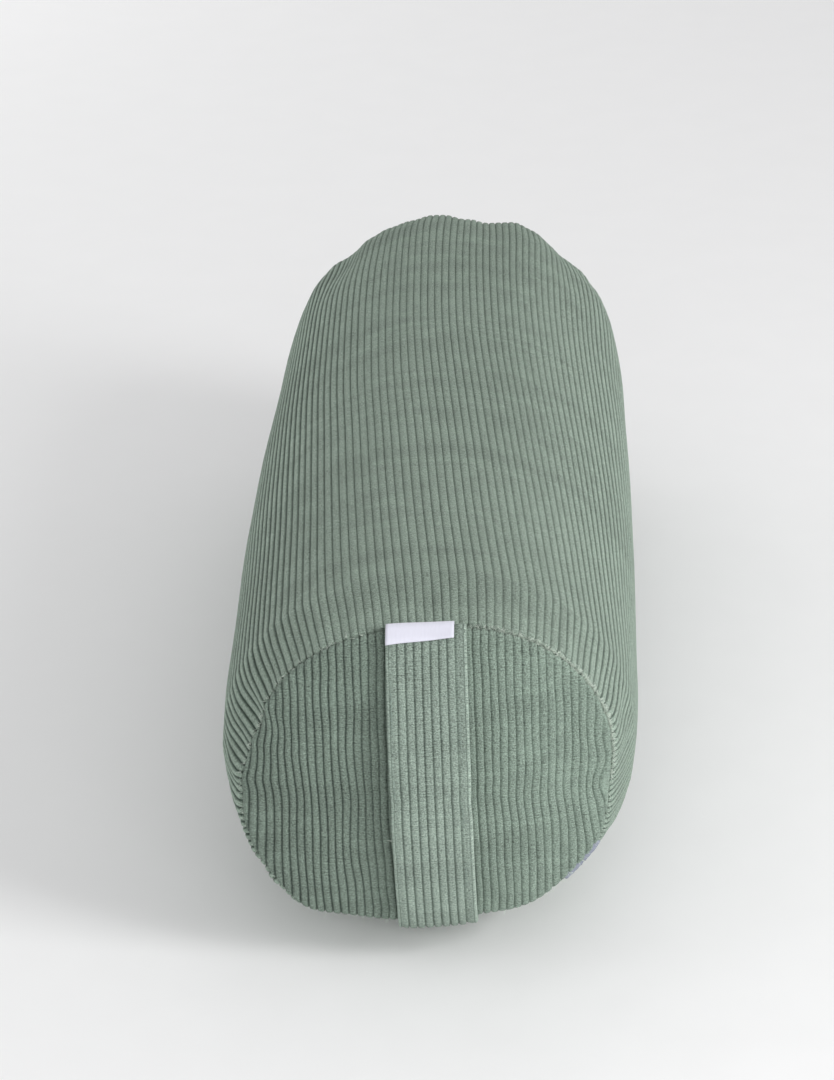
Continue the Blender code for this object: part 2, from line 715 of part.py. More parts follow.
def label_column(x, far, near):
    """Down the label's front face, round its lower fold and up the back, at this X."""
    line = strap_line(x + LABEL_X)
    y, z, thick, out_y, out_z = line[1]
    rows = [(y, z - LABEL_CAUGHT, thick / 2, out_y, out_z)]
    rows += [(y, z, t / 2, oy, oz) for y, z, t, oy, oz in line[1:5]]
    before = np.array(line[4])
    after = np.array(line[5])
    step = math.hypot(after[0] - before[0], after[1] - before[1])
    drop = LABEL_DROP - LABEL_TILT * x
    for q in (0.5, 1.0):
        y, z, thick, out_y, out_z = before + (after - before) * (drop * q / step)
        size = math.hypot(out_y, out_z)
        rows.append((y, z, thick / 2, out_y / size, out_z / size))
    column = []
    for lift, order in ((far, rows), (near, rows[::-1])):
        if lift == near:
            y, z, half, out_y, out_z = rows[-1]
            h = half + (far + near) / 2
            turn = (far - near) / 2
            column.append((y + h * out_y + turn * out_z, z + h * out_z - turn * out_y))
        for y, z, half, out_y, out_z in order:
            h = half + lift
            column.append((y + h * out_y, z + h * out_z))
    return [(x + LABEL_X + STRAP_TOP_X, -y, z) for y, z in column]


def label(mat):
    """Bare woven label folded in two, sewn into the seam over the strap."""
    xs = np.linspace(-LABEL_WIDE / 2, LABEL_WIDE / 2, 5)
    front = GAP + LABEL_THICK
    grids = []
    for far, near in ((front, GAP), (front - LABEL_LAYER, GAP + LABEL_LAYER)):
        grids.append(np.array([label_column(x, far, near) for x in xs]).transpose(1, 0, 2))
    return thick_sheet("woven_label", grids[0], grids[1], mat)


def main():
    for obj in list(bpy.data.objects):
        bpy.data.objects.remove(obj, do_unlink=True)
    corduroy = material("corduroy_body", "839388", 0.95)
    end_cord = material("corduroy_ends", "819187", 0.95)
    strap_cord = material("corduroy_strap", "859589", 0.95)
    cotton = material("cotton_lining", "E4DFD2", 0.9)
    kapok = material("kapok_fibre", "E9DDBE", 1.0)
    satin = material("woven_label_satin", "E1E1F0", 0.6)
    tape_cloth = material("zip_tape_polyester", "9CA3AC", 0.85)
    nylon = material("zip_coil_nylon", "A2A8B2", 0.45)
    metal = material("zip_slider_zinc", "A9ADB3", 0.35, 1.0)
    thread = material("bar_tack_thread", "8F9BA0", 0.8)
    body_panel(corduroy)
    end_disc("cover_front_disc", -1, end_cord)
    end_disc("cover_back_disc", 1, end_cord)
    pillow(cotton, kapok)
    for name, side in (("upper", 1), ("lower", -1)):
        tape("zip_tape_" + name, side, tape_cloth)
        coil("zip_coil_" + name, side, nylon)
    slider(metal)
    pull(metal)
    stop("zip_stop_near", -1, thread)
    stop("zip_stop_far", 1, thread)
    strap(strap_cord)
    label(satin)


main()
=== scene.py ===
"""Round yoga bolster in a sage corduroy cover, with a carry strap, a bare label and a zip.

The cloth is built on the CAD model's own curves, so each piece lies where its node does.
A place in the cover is given by s (way round the section, from the middle of the zip),
by a station along the length, and by the depth under the crests of the corduroy.
"""
import math

import bpy
import numpy as np
from mathutils import Matrix, Vector


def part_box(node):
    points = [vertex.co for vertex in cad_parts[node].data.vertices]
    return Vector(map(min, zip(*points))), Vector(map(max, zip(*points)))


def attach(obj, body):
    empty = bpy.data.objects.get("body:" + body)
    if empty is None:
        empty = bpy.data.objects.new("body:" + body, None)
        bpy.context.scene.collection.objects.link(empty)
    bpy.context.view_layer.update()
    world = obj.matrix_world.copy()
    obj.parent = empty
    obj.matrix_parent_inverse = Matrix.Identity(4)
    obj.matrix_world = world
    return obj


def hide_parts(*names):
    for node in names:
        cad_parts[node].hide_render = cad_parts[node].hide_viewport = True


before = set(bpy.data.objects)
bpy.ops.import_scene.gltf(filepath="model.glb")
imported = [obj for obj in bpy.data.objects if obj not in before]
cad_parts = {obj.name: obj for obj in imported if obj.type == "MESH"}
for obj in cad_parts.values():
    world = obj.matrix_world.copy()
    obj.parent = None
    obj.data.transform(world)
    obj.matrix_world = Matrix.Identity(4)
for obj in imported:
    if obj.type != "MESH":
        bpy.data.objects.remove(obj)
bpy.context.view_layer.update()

# Sizes in metres, the CAD model's own where nothing else is said
WIDTH = 0.224
HEIGHT = 0.200
HALF = 0.305                # from the middle to each end seam
SECTION_POWER = 2.14        # of the superellipse that the section follows
MIDDLE_HEIGHT = 0.093       # where the section is widest
SAG = 0.006                 # how far the round section would sink through the floor
SAG_BLEND = 0.004           # height over which it bends into the flat
ROUNDING = 0.115            # length over which each end is drawn in
FOOT_FROM = 0.30            # how far the cloth faces down where the draw-in softens
FOOT_FULL = 1.00
SEAM_WIDE = 0.1930
SEAM_TOP = 0.1890
SEAM_FOOT = 0.0250
SEAM_POWER = 2.20
SEAM_SHIFT = 0.0012         # how far each seam ring stands to one side
LEAN = 0.100                # slopes of the near end, back and to the side
TURN = 0.108
CROWN = 0.0145              # how far the middle of an end stands out
GAP = 0.0003                # between pieces
CLOTH = 0.0016
LINING = 0.0005
ALLOWANCE = 0.010           # cloth turned into a seam
PILLOW_SHORT = 0.007        # the pillow's seam stands back this far, and lies this far in
PILLOW_IN = 0.014
ZIP_DEG = -34.0             # the way the zip faces, from +X
SLOT = 0.0112               # from folded edge to folded edge over the zip
HEM = 0.0112                # cloth folded under beside it
TAPE_WIDE = 0.0160
TAPE_THICK = 0.0006
TAPE_FRAY = 0.00187         # how far their cut near ends stand out of the seam
TAPE_ASKEW = 0.0060         # the tapes' near ends are sewn in this far up the seam
COIL_WIDE = 0.0024
COIL_HIGH = 0.0020
COIL_HALF_GAP = 0.0008
COIL_STEP = 0.0016          # from loop to loop
COIL_WIRE = 0.00034         # half the thickness of its nylon
LOOP_IN = 0.0007            # a loop's middle line is this much smaller than the loop
LOOP_LEAN = 0.0004          # how far the loops of the two rows are set against each other
STOP_LONG = 0.0040
STRAP_WIDE = 0.0415
STRAP_THICK = 0.0035
STRAP_IN_SEAM = 0.0014      # its thickness in the seam, and how far it reaches in
STRAP_CAUGHT = 0.006
STRAP_PROUD = 0.0052        # the CAD model's strap stands 6 mm further off, for a hand
STRAP_HIGH_SIDE = 0.80      # below 1 it stands off most above its middle
STRAP_TOP_X = 0.0016        # 1 mm further left than in the CAD model
STRAP_FOOT_X = 0.0060
LABEL_WIDE = 0.035
LABEL_X = -0.0030
LABEL_LAYER = 0.00035
LABEL_CAUGHT = 0.004
LABEL_DROP = 0.0065         # how far it hangs down the strap
LABEL_TILT = 0.055          # slope of its lower fold
LABEL_CURL = 0.0011         # how far its right corner stands off the strap

# Corduroy
WALE = 0.0046               # from groove to groove on the body
END_WALE = 0.0041           # on the ends, which aren't stretched by the filling
STRAP_WALE = 0.0043
RIB_HIGH = 0.00130          # crest above groove
RIB_STEPS = (0.0, 0.10, 0.27, 0.5, 0.73, 0.90)      # columns in one wale, as shares

# Sewing
STITCH_LONG = 0.0027
STITCH_THICK = 0.0006
STITCH_STEP = 0.0033        # from stitch to stitch on the strap
HEM_STEP = 0.0034           # and on the hems
STITCH_DEEP = 0.0004        # how deep they lie in the cloth
FIBRE_LONG = 0.0026
FIBRE_THICK = 0.00011
HEM_SEWN = 0.0045           # from the folded edge at the zip to its stitches
SEW_RIGHT = STRAP_WIDE / 2 - 0.0046     # the strap's two rows, from its middle
SEW_LEFT = -STRAP_WIDE / 2 + 0.0024
SEW_WIDE = 0.0013           # how far from its stitches the strap is pressed in

SEAM_MIDDLE = (SEAM_TOP + SEAM_FOOT) / 2
RING_A = SEAM_WIDE / 2
RING_B = SEAM_TOP - SEAM_MIDDLE
STRAIGHT = HALF - ROUNDING
FOLD = 2 * CLOTH + GAP
TAPE_TOP = FOLD + GAP
TAPE_LOW = TAPE_TOP + TAPE_THICK
EDGE = SLOT / 2
EDGE_MIDDLE = EDGE + FOLD / 2
LABEL_THICK = 2 * LABEL_LAYER + GAP


def smooth(t):
    """0 to 1 with soft ends."""
    t = np.clip(t, 0.0, 1.0)
    return t * t * (3 - 2 * t)


def bell(away, wide):
    """1 here, falling off on both sides."""
    return np.exp(-(away / wide) ** 2)


def arc_along(path):
    """Length along a path up to each of its points."""
    return np.concatenate([[0], np.cumsum(np.linalg.norm(np.diff(path, axis=0), axis=1))])


# The bolster's form
OUTLINE_STEPS = 2880        # an eighth of a degree each
HALVINGS = 32               # enough to find a place to within a nanometre


def section_points():
    """Closed outline in X and Z, anticlockwise from +X, flat where it rests."""
    t = np.linspace(0, 2 * math.pi, OUTLINE_STEPS + 1)
    c = np.cos(t)
    s = np.sin(t)
    p = 2 / SECTION_POWER
    x = WIDTH / 2 * np.sign(c) * np.abs(c) ** p
    up = (HEIGHT - MIDDLE_HEIGHT) * np.abs(s) ** p
    down = MIDDLE_HEIGHT - (MIDDLE_HEIGHT + SAG) * np.abs(s) ** p
    soft = np.clip(1 - np.abs(down) / SAG_BLEND, 0, 1)
    down = np.maximum(down, 0) + soft ** 2 * SAG_BLEND / 4
    return np.stack([x, np.where(s >= 0, MIDDLE_HEIGHT + up, down)], 1)


OUTLINE = section_points()
ARC = arc_along(OUTLINE)
GIRTH = ARC[-1]
SLOPE = np.gradient(OUTLINE, ARC, axis=0)
SLOPE[0] = SLOPE[-1] = (0, 1)
FACING = np.degrees(np.unwrap(np.arctan2(-SLOPE[:, 0], SLOPE[:, 1])))
ZIP_ARC = float(np.interp(ZIP_DEG % 360, FACING, ARC))


def on_section(s):
    """Point and outward direction, in X and Z, at arc length s from the zip."""
    a = (np.asarray(s, float) + ZIP_ARC) % GIRTH
    point, along = (np.stack([np.interp(a, ARC, line[:, k]) for k in (0, 1)], -1)
                    for line in (OUTLINE, SLOPE))
    along /= np.linalg.norm(along, axis=-1, keepdims=True)
    return point, np.stack([along[..., 1], -along[..., 0]], -1)


def faces_at(s):
    """The way the cloth faces, in degrees from +X."""
    _, out = on_section(s)
    return np.degrees(np.arctan2(out[..., 1], out[..., 0]))


def ring_share(x, z, end, inset=GAP):
    """How far out on an end a point lies (1 at its seam ring), and the slope of that share."""
    a, b = RING_A - inset, RING_B - inset
    u = (x + end * SEAM_SHIFT) / a
    w = (z - SEAM_MIDDLE) / b
    k = np.maximum((np.abs(u) ** SEAM_POWER + np.abs(w) ** SEAM_POWER) ** (1 / SEAM_POWER), 1e-6)
    du = np.sign(u) * np.abs(u / k) ** (SEAM_POWER - 1) / a
    dw = np.sign(w) * np.abs(w / k) ** (SEAM_POWER - 1) / b
    return k, du, dw


def halve(shape, reach, past):
    """How far from 0 towards reach each point gets before it is past, found by halving."""
    near, far = np.zeros(shape), np.full(shape, reach)
    for _ in range(HALVINGS):
        half = (near + far) / 2
        beyond = past(half)
        far = np.where(beyond, half, far)
        near = np.where(beyond, near, half)
    return far


def draw_in(s, end):
    """How far an end's seam ring lies inside the section here."""
    point, out = on_section(s)

    def inside(inset):
        tried = point - out * inset[..., None]
        return ring_share(tried[..., 0], tried[..., 1], end, 0.0)[0] < 1
    return halve(point.shape[:-1], WIDTH / 4, inside)


def place(s, inset, y):
    """World point at arc length s, this far inside the section, at this Y."""
    s, inset, y = np.broadcast_arrays(s, inset, y)
    point, out = on_section(s)
    flat = point - out * inset[..., None]
    return np.stack([flat[..., 0], y, flat[..., 1]], -1)


def drawn_share(s, a):
    """Share of the whole draw-in reached at this end angle: a quarter round, softer below."""
    _, out = on_section(s)
    below = smooth((-out[..., 1] - FOOT_FROM) / (FOOT_FULL - FOOT_FROM))
    return (1 - math.cos(a)) * (1 - below) + math.sin(a) ** 2 * below


def from_zip(s):
    """Distance round the section from the middle of the zip."""
    return np.abs((np.asarray(s, float) + GIRTH / 2) % GIRTH - GIRTH / 2)


def seam_y(s, end):
    """Y of the panel's turned-in end, further back where the seam has caught something."""
    point, _ = on_section(s)
    room = smooth((TAPE_WIDE + 0.016 - from_zip(s)) / 0.010) * (TAPE_THICK + GAP)
    if end < 0:
        side = np.abs(point[..., 0] - (STRAP_TOP_X + STRAP_FOOT_X) / 2)
        strap = smooth((STRAP_WIDE / 2 + 0.013 - side) / 0.011)
        label_room = np.where(point[..., 1] > MIDDLE_HEIGHT, LABEL_THICK + GAP, 0)
        room = np.maximum(room, strap * (STRAP_IN_SEAM + GAP + label_room))
    return HALF - room


def stations(angles, count, *edge):
    """Rows of a sheet from the far end to the near end: which end, kind and place. An end
    has rows at these angles in degrees, and then those of its edge."""
    ends = [("end", a) for a in np.radians(angles)] + list(edge)
    middle = [(0, "straight", y) for y in np.linspace(STRAIGHT, -STRAIGHT, count)[1:-1]]
    return [(1, *row) for row in reversed(ends)] + middle + [(-1, *row) for row in ends]


def waves(u, v, seed, count=7):
    """A smooth uneven field of about -1 to 1 over two coordinates counted in waves."""
    random = np.random.default_rng(seed)
    total = 0
    for _ in range(count):
        angle = random.uniform(0, 2 * math.pi)
        size = random.uniform(0.6, 1.7)
        phase = random.uniform(0, 2 * math.pi)
        turn = 2 * math.pi * size
        total = total + np.sin(turn * (u * math.cos(angle) + v * math.sin(angle)) + phase)
    return total / count ** 0.5 / 1.3


# How the stuffed body swells and sinks away from the CAD model's even form: where, the way
# round in degrees from +X, half width in degrees, height. "end" swells take the seam with
# them, "body" swells die out at it, "seam" and "drop" only move the near seam and its disc,
# outwards or straight down along the wales
SWELLS = (("seam", -24, 11, 0.0020), ("seam", -166, 15, 0.0028), ("seam", 160, 13, -0.0052),
          ("seam", 152, 3, 0.0014), ("seam", 164, 3, 0.0014), ("seam", 177, 3, 0.0016),
          ("drop", -50, 15, 0.0062), ("drop", -137, 13, 0.0102), ("near end", 88, 15, -0.0022),
          ("near body", -138, 18, -0.0050), ("near body", -152, 13, -0.0075),
          ("near body", -36, 15, -0.0034),
          ("near end", -172, 18, -0.0028), ("near end", -8, 12, -0.0020),
          ("far end", 153, 6, 0.0016), ("far end", 138, 11, -0.0068),
          ("far end", 119, 5, -0.0014), ("far end", 99, 9, 0.0032), ("far end", 76, 9, -0.0024),
          ("far end", 59, 8, 0.0026), ("far end", 39, 8, -0.0034),
          ("middle", 180, 26, 0.0028), ("middle", 14, 20, 0.0022))
SEAM_REACH = 0.03
BODY_REACH = 0.008          # the body's own swells end this close to the seam
MIDDLE_REACH = 0.200        # the middle's own swells end this far from it


def settle(points):
    """The whole soft body as it lies: swollen here and there, its near end leaning back."""
    moved = np.array(points, float)
    x, y, z = moved[..., 0], moved[..., 1], moved[..., 2] - SEAM_MIDDLE
    turn = np.degrees(np.arctan2(z, x))
    near = smooth((-y - STRAIGHT) / ROUNDING)
    seam = smooth((SEAM_REACH - HALF - y) / SEAM_REACH)
    body = near * (1 - smooth((BODY_REACH - HALF - y) / BODY_REACH))
    rim = np.minimum(np.hypot(x / RING_A, z / RING_B), 1.0) ** 5
    shares = {"near end": near, "near body": body, "drop": seam, "seam": seam * rim,
              "far end": smooth((y - STRAIGHT) / ROUNDING),
              "middle": smooth((MIDDLE_REACH - np.abs(y)) / 0.16)}
    out, drop = 0, 0
    for where, at, wide, high in SWELLS:
        away = (turn - at + 180) % 360 - 180
        rise = shares[where] * high * bell(away, wide) / RING_A
        if where == "drop":
            drop = drop + rise
        else:
            out = out + rise
    moved[..., 0] += x * out
    moved[..., 2] += z * (out + drop)
    moved[..., 1] += near * (LEAN * z + TURN * x)
    return moved


# Meshes
def make_mesh(name, points, faces, material, fields=None, cloth=None):
    """An object at the origin. Fields are point attributes, 0 on the points past their end,
    and cloth is a UV map in metres."""
    mesh = bpy.data.meshes.new(name)
    mesh.from_pydata(np.asarray(points).tolist(), [], [list(f) for f in faces])
    mesh.shade_smooth()
    for key, values in (fields or {}).items():
        full = np.zeros((len(points), *np.shape(values)[1:]), np.float32)
        full[:len(values)] = values
        kind, part = ("FLOAT", "value") if full.ndim == 1 else ("FLOAT_VECTOR", "vector")
        mesh.attributes.new(key, kind, "POINT").data.foreach_set(part, full.ravel())
    if cloth is not None:
        corner = np.empty(len(mesh.loops), np.int32)
        mesh.loops.foreach_get("vertex_index", corner)
        layer = mesh.uv_layers.new(name="cloth")
        layer.uv.foreach_set("vector", np.asarray(cloth, np.float32)[corner].ravel())
    mesh.materials.append(material)
    obj = bpy.data.objects.new(name, mesh)
    bpy.context.scene.collection.objects.link(obj)
    return obj


def cloth_map(along, *across):
    """Places on the cloth, in metres, of the points of sheets woven this way."""
    return np.concatenate([np.stack(np.meshgrid(u, along), -1).reshape(-1, 2) for u in across])


def grid_faces(rows, cols, wrap=False, start=0):
    """Quads of a grid of points, row by row."""
    i, j = np.meshgrid(np.arange(rows - 1), np.arange(cols if wrap else cols - 1), indexing="ij")
    k = (j + 1) % cols
    quads = [i * cols + j, i * cols + k, (i + 1) * cols + k, (i + 1) * cols + j]
    return (np.stack(quads, -1).reshape(-1, 4) + start).tolist()


def sheet_mesh(outer, inner, wrap=False, pick=None):
    """Points and faces of a closed sheet between two grids. The inner grid may be coarser:
    pick lists the outer columns that its columns lie under."""
    rows, cols = outer.shape[:2]
    thin = inner.shape[1]
    pick = range(cols) if pick is None else pick
    n = rows * cols
    points = np.concatenate([outer.reshape(-1, 3), inner.reshape(-1, 3)])
    faces = grid_faces(rows, cols, wrap) + [f[::-1] for f in grid_faces(rows, thin, wrap, n)]
    for c in range(thin if wrap else thin - 1):
        d = (c + 1) % thin
        stop = cols if wrap and d == 0 else pick[d]
        run = [j % cols for j in range(pick[c], stop + 1)]
        last = n + (rows - 1) * thin
        faces.append([(rows - 1) * cols + j for j in run] + [last + d, last + c])
        faces.append(run[::-1] + [n + c, n + d])
    if not wrap:
        for i in range(rows - 1):
            a, b = i * cols, (i + 1) * cols
            p, q = n + i * thin, n + (i + 1) * thin
            faces.append([a, b, q, p])
            faces.append([b + cols - 1, a + cols - 1, p + thin - 1, q + thin - 1])
    return points, faces


def soft_piece(name, points, faces, material, cloth=None, wale=None, pile=None):
    """A closed mesh that settles with the bolster. One with a wale count is ribbed."""
    points = settle(points)
    points[:, 2] = np.maximum(points[:, 2], 0.0)
    total = 0.0
    for face in faces:
        a = points[face[0]]
        for j in range(1, len(face) - 1):
            total += float(a @ np.cross(points[face[j]], points[face[j + 1]]))
    if total < 0:           # its volume comes out negative, so its faces point inwards
        faces = [face[::-1] for face in faces]
    if wale is None:
        return make_mesh(name, points, faces, material, None, cloth)
    obj = make_mesh(name, points, faces, material, {"wale": wale, "pile": pile}, cloth)
    return through(obj, RIBS, material)


# Geometry Nodes
def add(tree, kind, *values, out=0, at=None, **settings):
    """Adds a node, sets it up and returns one of its outputs.

    The values or sockets go to its first inputs in order, and those in at to inputs by name."""
    node = tree.nodes.new(kind)
    for key, value in settings.items():
        setattr(node, key, value)
    for key, value in [*enumerate(values), *(at or {}).items()]:
        if isinstance(value, bpy.types.NodeSocket):
            tree.links.new(value, node.inputs[key])
        else:
            node.inputs[key].default_value = value
    return node.outputs[out] if node.outputs else node


MATH = "ShaderNodeMath"
VECTOR = "ShaderNodeVectorMath"
RANGE = "ShaderNodeMapRange"
NOISE = "ShaderNodeTexNoise"
FIELD = "GeometryNodeInputNamedAttribute"


def start_tree(name, sizes):
    """A geometry tree with named size inputs and a material. Returns it and its inputs."""
    tree = bpy.data.node_groups.new(name, "GeometryNodeTree")
    face = tree.interface
    face.new_socket("Geometry", in_out="INPUT", socket_type="NodeSocketGeometry")
    for key, value in sizes.items():
        socket = face.new_socket(key, in_out="INPUT", socket_type="NodeSocketFloat")
        socket.default_value = value
    face.new_socket("Material", in_out="INPUT", socket_type="NodeSocketMaterial")
    face.new_socket("Geometry", in_out="OUTPUT", socket_type="NodeSocketGeometry")
    return tree, tree.nodes.new("NodeGroupInput").outputs


def end_tree(tree, geometry, given):
    """Closes a tree: instances made real, material set."""
    real = add(tree, "GeometryNodeRealizeInstances", geometry)
    done = add(tree, "GeometryNodeSetMaterial", real, at={"Material": given["Material"]})
    add(tree, "NodeGroupOutput", done)
    return tree


def from_crest(tree, count):
    """Turns a count of wales into 0 on each crest and 1 down in each groove."""
    side = add(tree, MATH, add(tree, MATH, count, operation="FRACT"), 2.0, -1.0,
               operation="MULTIPLY_ADD")
    return add(tree, MATH, side, operation="ABSOLUTE")


def rib_tree():
    """Corduroy: sinks a smooth cloth into grooves between round ribs.

    wale counts the ribs across the cloth, and pile is 0 where the cloth is pressed flat."""
    tree, given = start_tree("corduroy_ribs", {"Rib height": RIB_HIGH, "Roundness": 5.0,
                                               "Unevenness": 0.0004, "Unevenness scale": 95.0})
    groove = add(tree, MATH, from_crest(tree, add(tree, FIELD, "wale")), given["Roundness"],
                 operation="POWER")
    noise = add(tree, NOISE, at={"Scale": given["Unevenness scale"], "Detail": 2.0})
    lump = add(tree, MATH, add(tree, MATH, noise, 0.62, operation="SUBTRACT"),
               given["Unevenness"], operation="MULTIPLY")
    sunk = add(tree, MATH, groove, given["Rib height"], operation="MULTIPLY")
    rise = add(tree, MATH, add(tree, MATH, lump, sunk, operation="SUBTRACT"),
               add(tree, FIELD, "pile"), operation="MULTIPLY")
    offset = add(tree, VECTOR, add(tree, "GeometryNodeInputNormal"), at={"Scale": rise},
                 operation="SCALE")
    moved = add(tree, "GeometryNodeSetPosition", given["Geometry"], at={"Offset": offset})
    return end_tree(tree, moved, given)


def repeat_tree(name, sizes, shape, loose=0.0, seed=3):
    """Sets a small shape on each point, its Z on the point's along and its X on its out."""
    tree, given = start_tree(name, sizes)
    along, side = (add(tree, FIELD, key, data_type="FLOAT_VECTOR") for key in ("along", "out"))
    turn = add(tree, "FunctionNodeAxesToRotation", along, side,
               primary_axis="Z", secondary_axis="X")
    points = add(tree, "GeometryNodeMeshToPoints", given["Geometry"])
    made = add(tree, "GeometryNodeInstanceOnPoints", points,
               at={"Instance": shape(tree, given), "Rotation": turn})
    if loose:
        swing = add(tree, "FunctionNodeRandomValue", (-loose,) * 3, (loose,) * 3,
                    at={"Seed": seed}, data_type="FLOAT_VECTOR")
        made = add(tree, "GeometryNodeRotateInstances", made, at={"Rotation": swing})
        size = add(tree, "FunctionNodeRandomValue", at={2: 0.45, 3: 1.25, "Seed": seed + 1},
                   out=1)
        made = add(tree, "GeometryNodeScaleInstances", made, at={"Scale": size})
    return end_tree(tree, made, given)


def stitch_shape(tree, given):
    """One stitch: a bead of thread, drawn out along Z."""
    bead = add(tree, "GeometryNodeMeshUVSphere", 7, 6, 1.0)
    flat = add(tree, MATH, given["Thread"], 0.8, operation="MULTIPLY")
    size = add(tree, "ShaderNodeCombineXYZ", flat, given["Thread"], given["Length"])
    half = add(tree, VECTOR, size, at={"Scale": 0.5}, operation="SCALE")
    return add(tree, "GeometryNodeTransform", bead, at={"Scale": half})


def loop_shape(tree, given):
    """One loop of the coil: a ring of nylon, wide across the zip, leaning along it."""
    ring = add(tree, "GeometryNodeCurvePrimitiveCircle", 12, at={"Radius": 0.5})
    size = add(tree, "ShaderNodeCombineXYZ", given["High"], given["Wide"], 1.0)
    oval = add(tree, "GeometryNodeTransform", ring,
               at={"Scale": size, "Rotation": (0.0, 0.32, 0.0)})
    wire = add(tree, "GeometryNodeCurvePrimitiveCircle", 6, at={"Radius": given["Wire"]})
    return add(tree, "GeometryNodeCurveToMesh", oval, wire)


def fibre_shape(tree, given):
    """One loose fibre: a thin cone standing along Z."""
    return add(tree, "GeometryNodeMeshCone",
               at={"Vertices": 4, "Radius Top": 0.00002, "Radius Bottom": given["Thread"],
                   "Depth": given["Length"]})


def through(obj, tree, material, **sizes):
    """Runs a tree on an object and leaves the result as its plain mesh."""
    modifier = obj.modifiers.new(tree.name, "NODES")
    modifier.node_group = tree
    wanted = {"Material": material, **sizes}
    for socket in tree.interface.items_tree:
        if socket.in_out == "INPUT" and socket.name in wanted:
            modifier[socket.identifier] = wanted[socket.name]
    ready = obj.evaluated_get(bpy.context.evaluated_depsgraph_get())
    mesh = bpy.data.meshes.new_from_object(ready)
    mesh.name = obj.name
    mesh.materials.clear()
    mesh.materials.append(material)
    mesh.polygons.foreach_set("material_index", np.zeros(len(mesh.polygons), np.int32))
    obj.modifiers.clear()
    obj.data = mesh
    mesh.shade_smooth()
    return obj


def run_of(name, points, along, out, tree, material, **sizes):
    """A piece made of one small shape on each point, or on all points the same way round."""
    obj = make_mesh(name, points, [], material,
                    {"along": np.broadcast_to(along, np.shape(points)),
                     "out": np.broadcast_to(out, np.shape(points))})
    return through(obj, tree, material, **sizes)


# Materials
def linear(colour):
    """Linear colour from sRGB hex."""
    levels = [int(colour[i:i + 2], 16) / 255 for i in (0, 2, 4)]
    return [((v + 0.055) / 1.055) ** 2.4 if v > 0.04045 else v / 12.92 for v in levels] + [1.0]


def finish_of(name, roughness, metallic=0.0, **sockets):
    """A material with one Principled shader. Returns it, its tree and the shader's inputs."""
    mat = bpy.data.materials.new(name)
    mat.use_nodes = True
    shader = mat.node_tree.nodes["Principled BSDF"].inputs
    shader["Roughness"].default_value = roughness
    shader["Metallic"].default_value = metallic
    for key, value in sockets.items():
        shader[key.replace("_", " ")].default_value = value
    return mat, mat.node_tree, shader


def grain(tree, source, across_mm, along_mm, detail=2.0, rough=0.5):
    """Noise of 0 to 1 whose cells have this size on the cloth map."""
    cells = add(tree, "ShaderNodeMapping", source,
                at={"Scale": (1000 / across_mm, 1000 / along_mm, 1.0)})
    return add(tree, NOISE, cells, at={"Scale": 1.0, "Detail": detail, "Roughness": rough})


def dress(tree, shader, colour, value, height, strength, depth_mm):
    """Wires a colour times a value, and a bump, to the shader."""
    toned = add(tree, VECTOR, colour, at={"Scale": value}, operation="SCALE")
    tree.links.new(toned, shader["Base Color"])
    bump = add(tree, "ShaderNodeBump", at={"Strength": strength, "Distance": depth_mm / 1000,
                                           "Height": height})
    tree.links.new(bump, shader["Normal"])


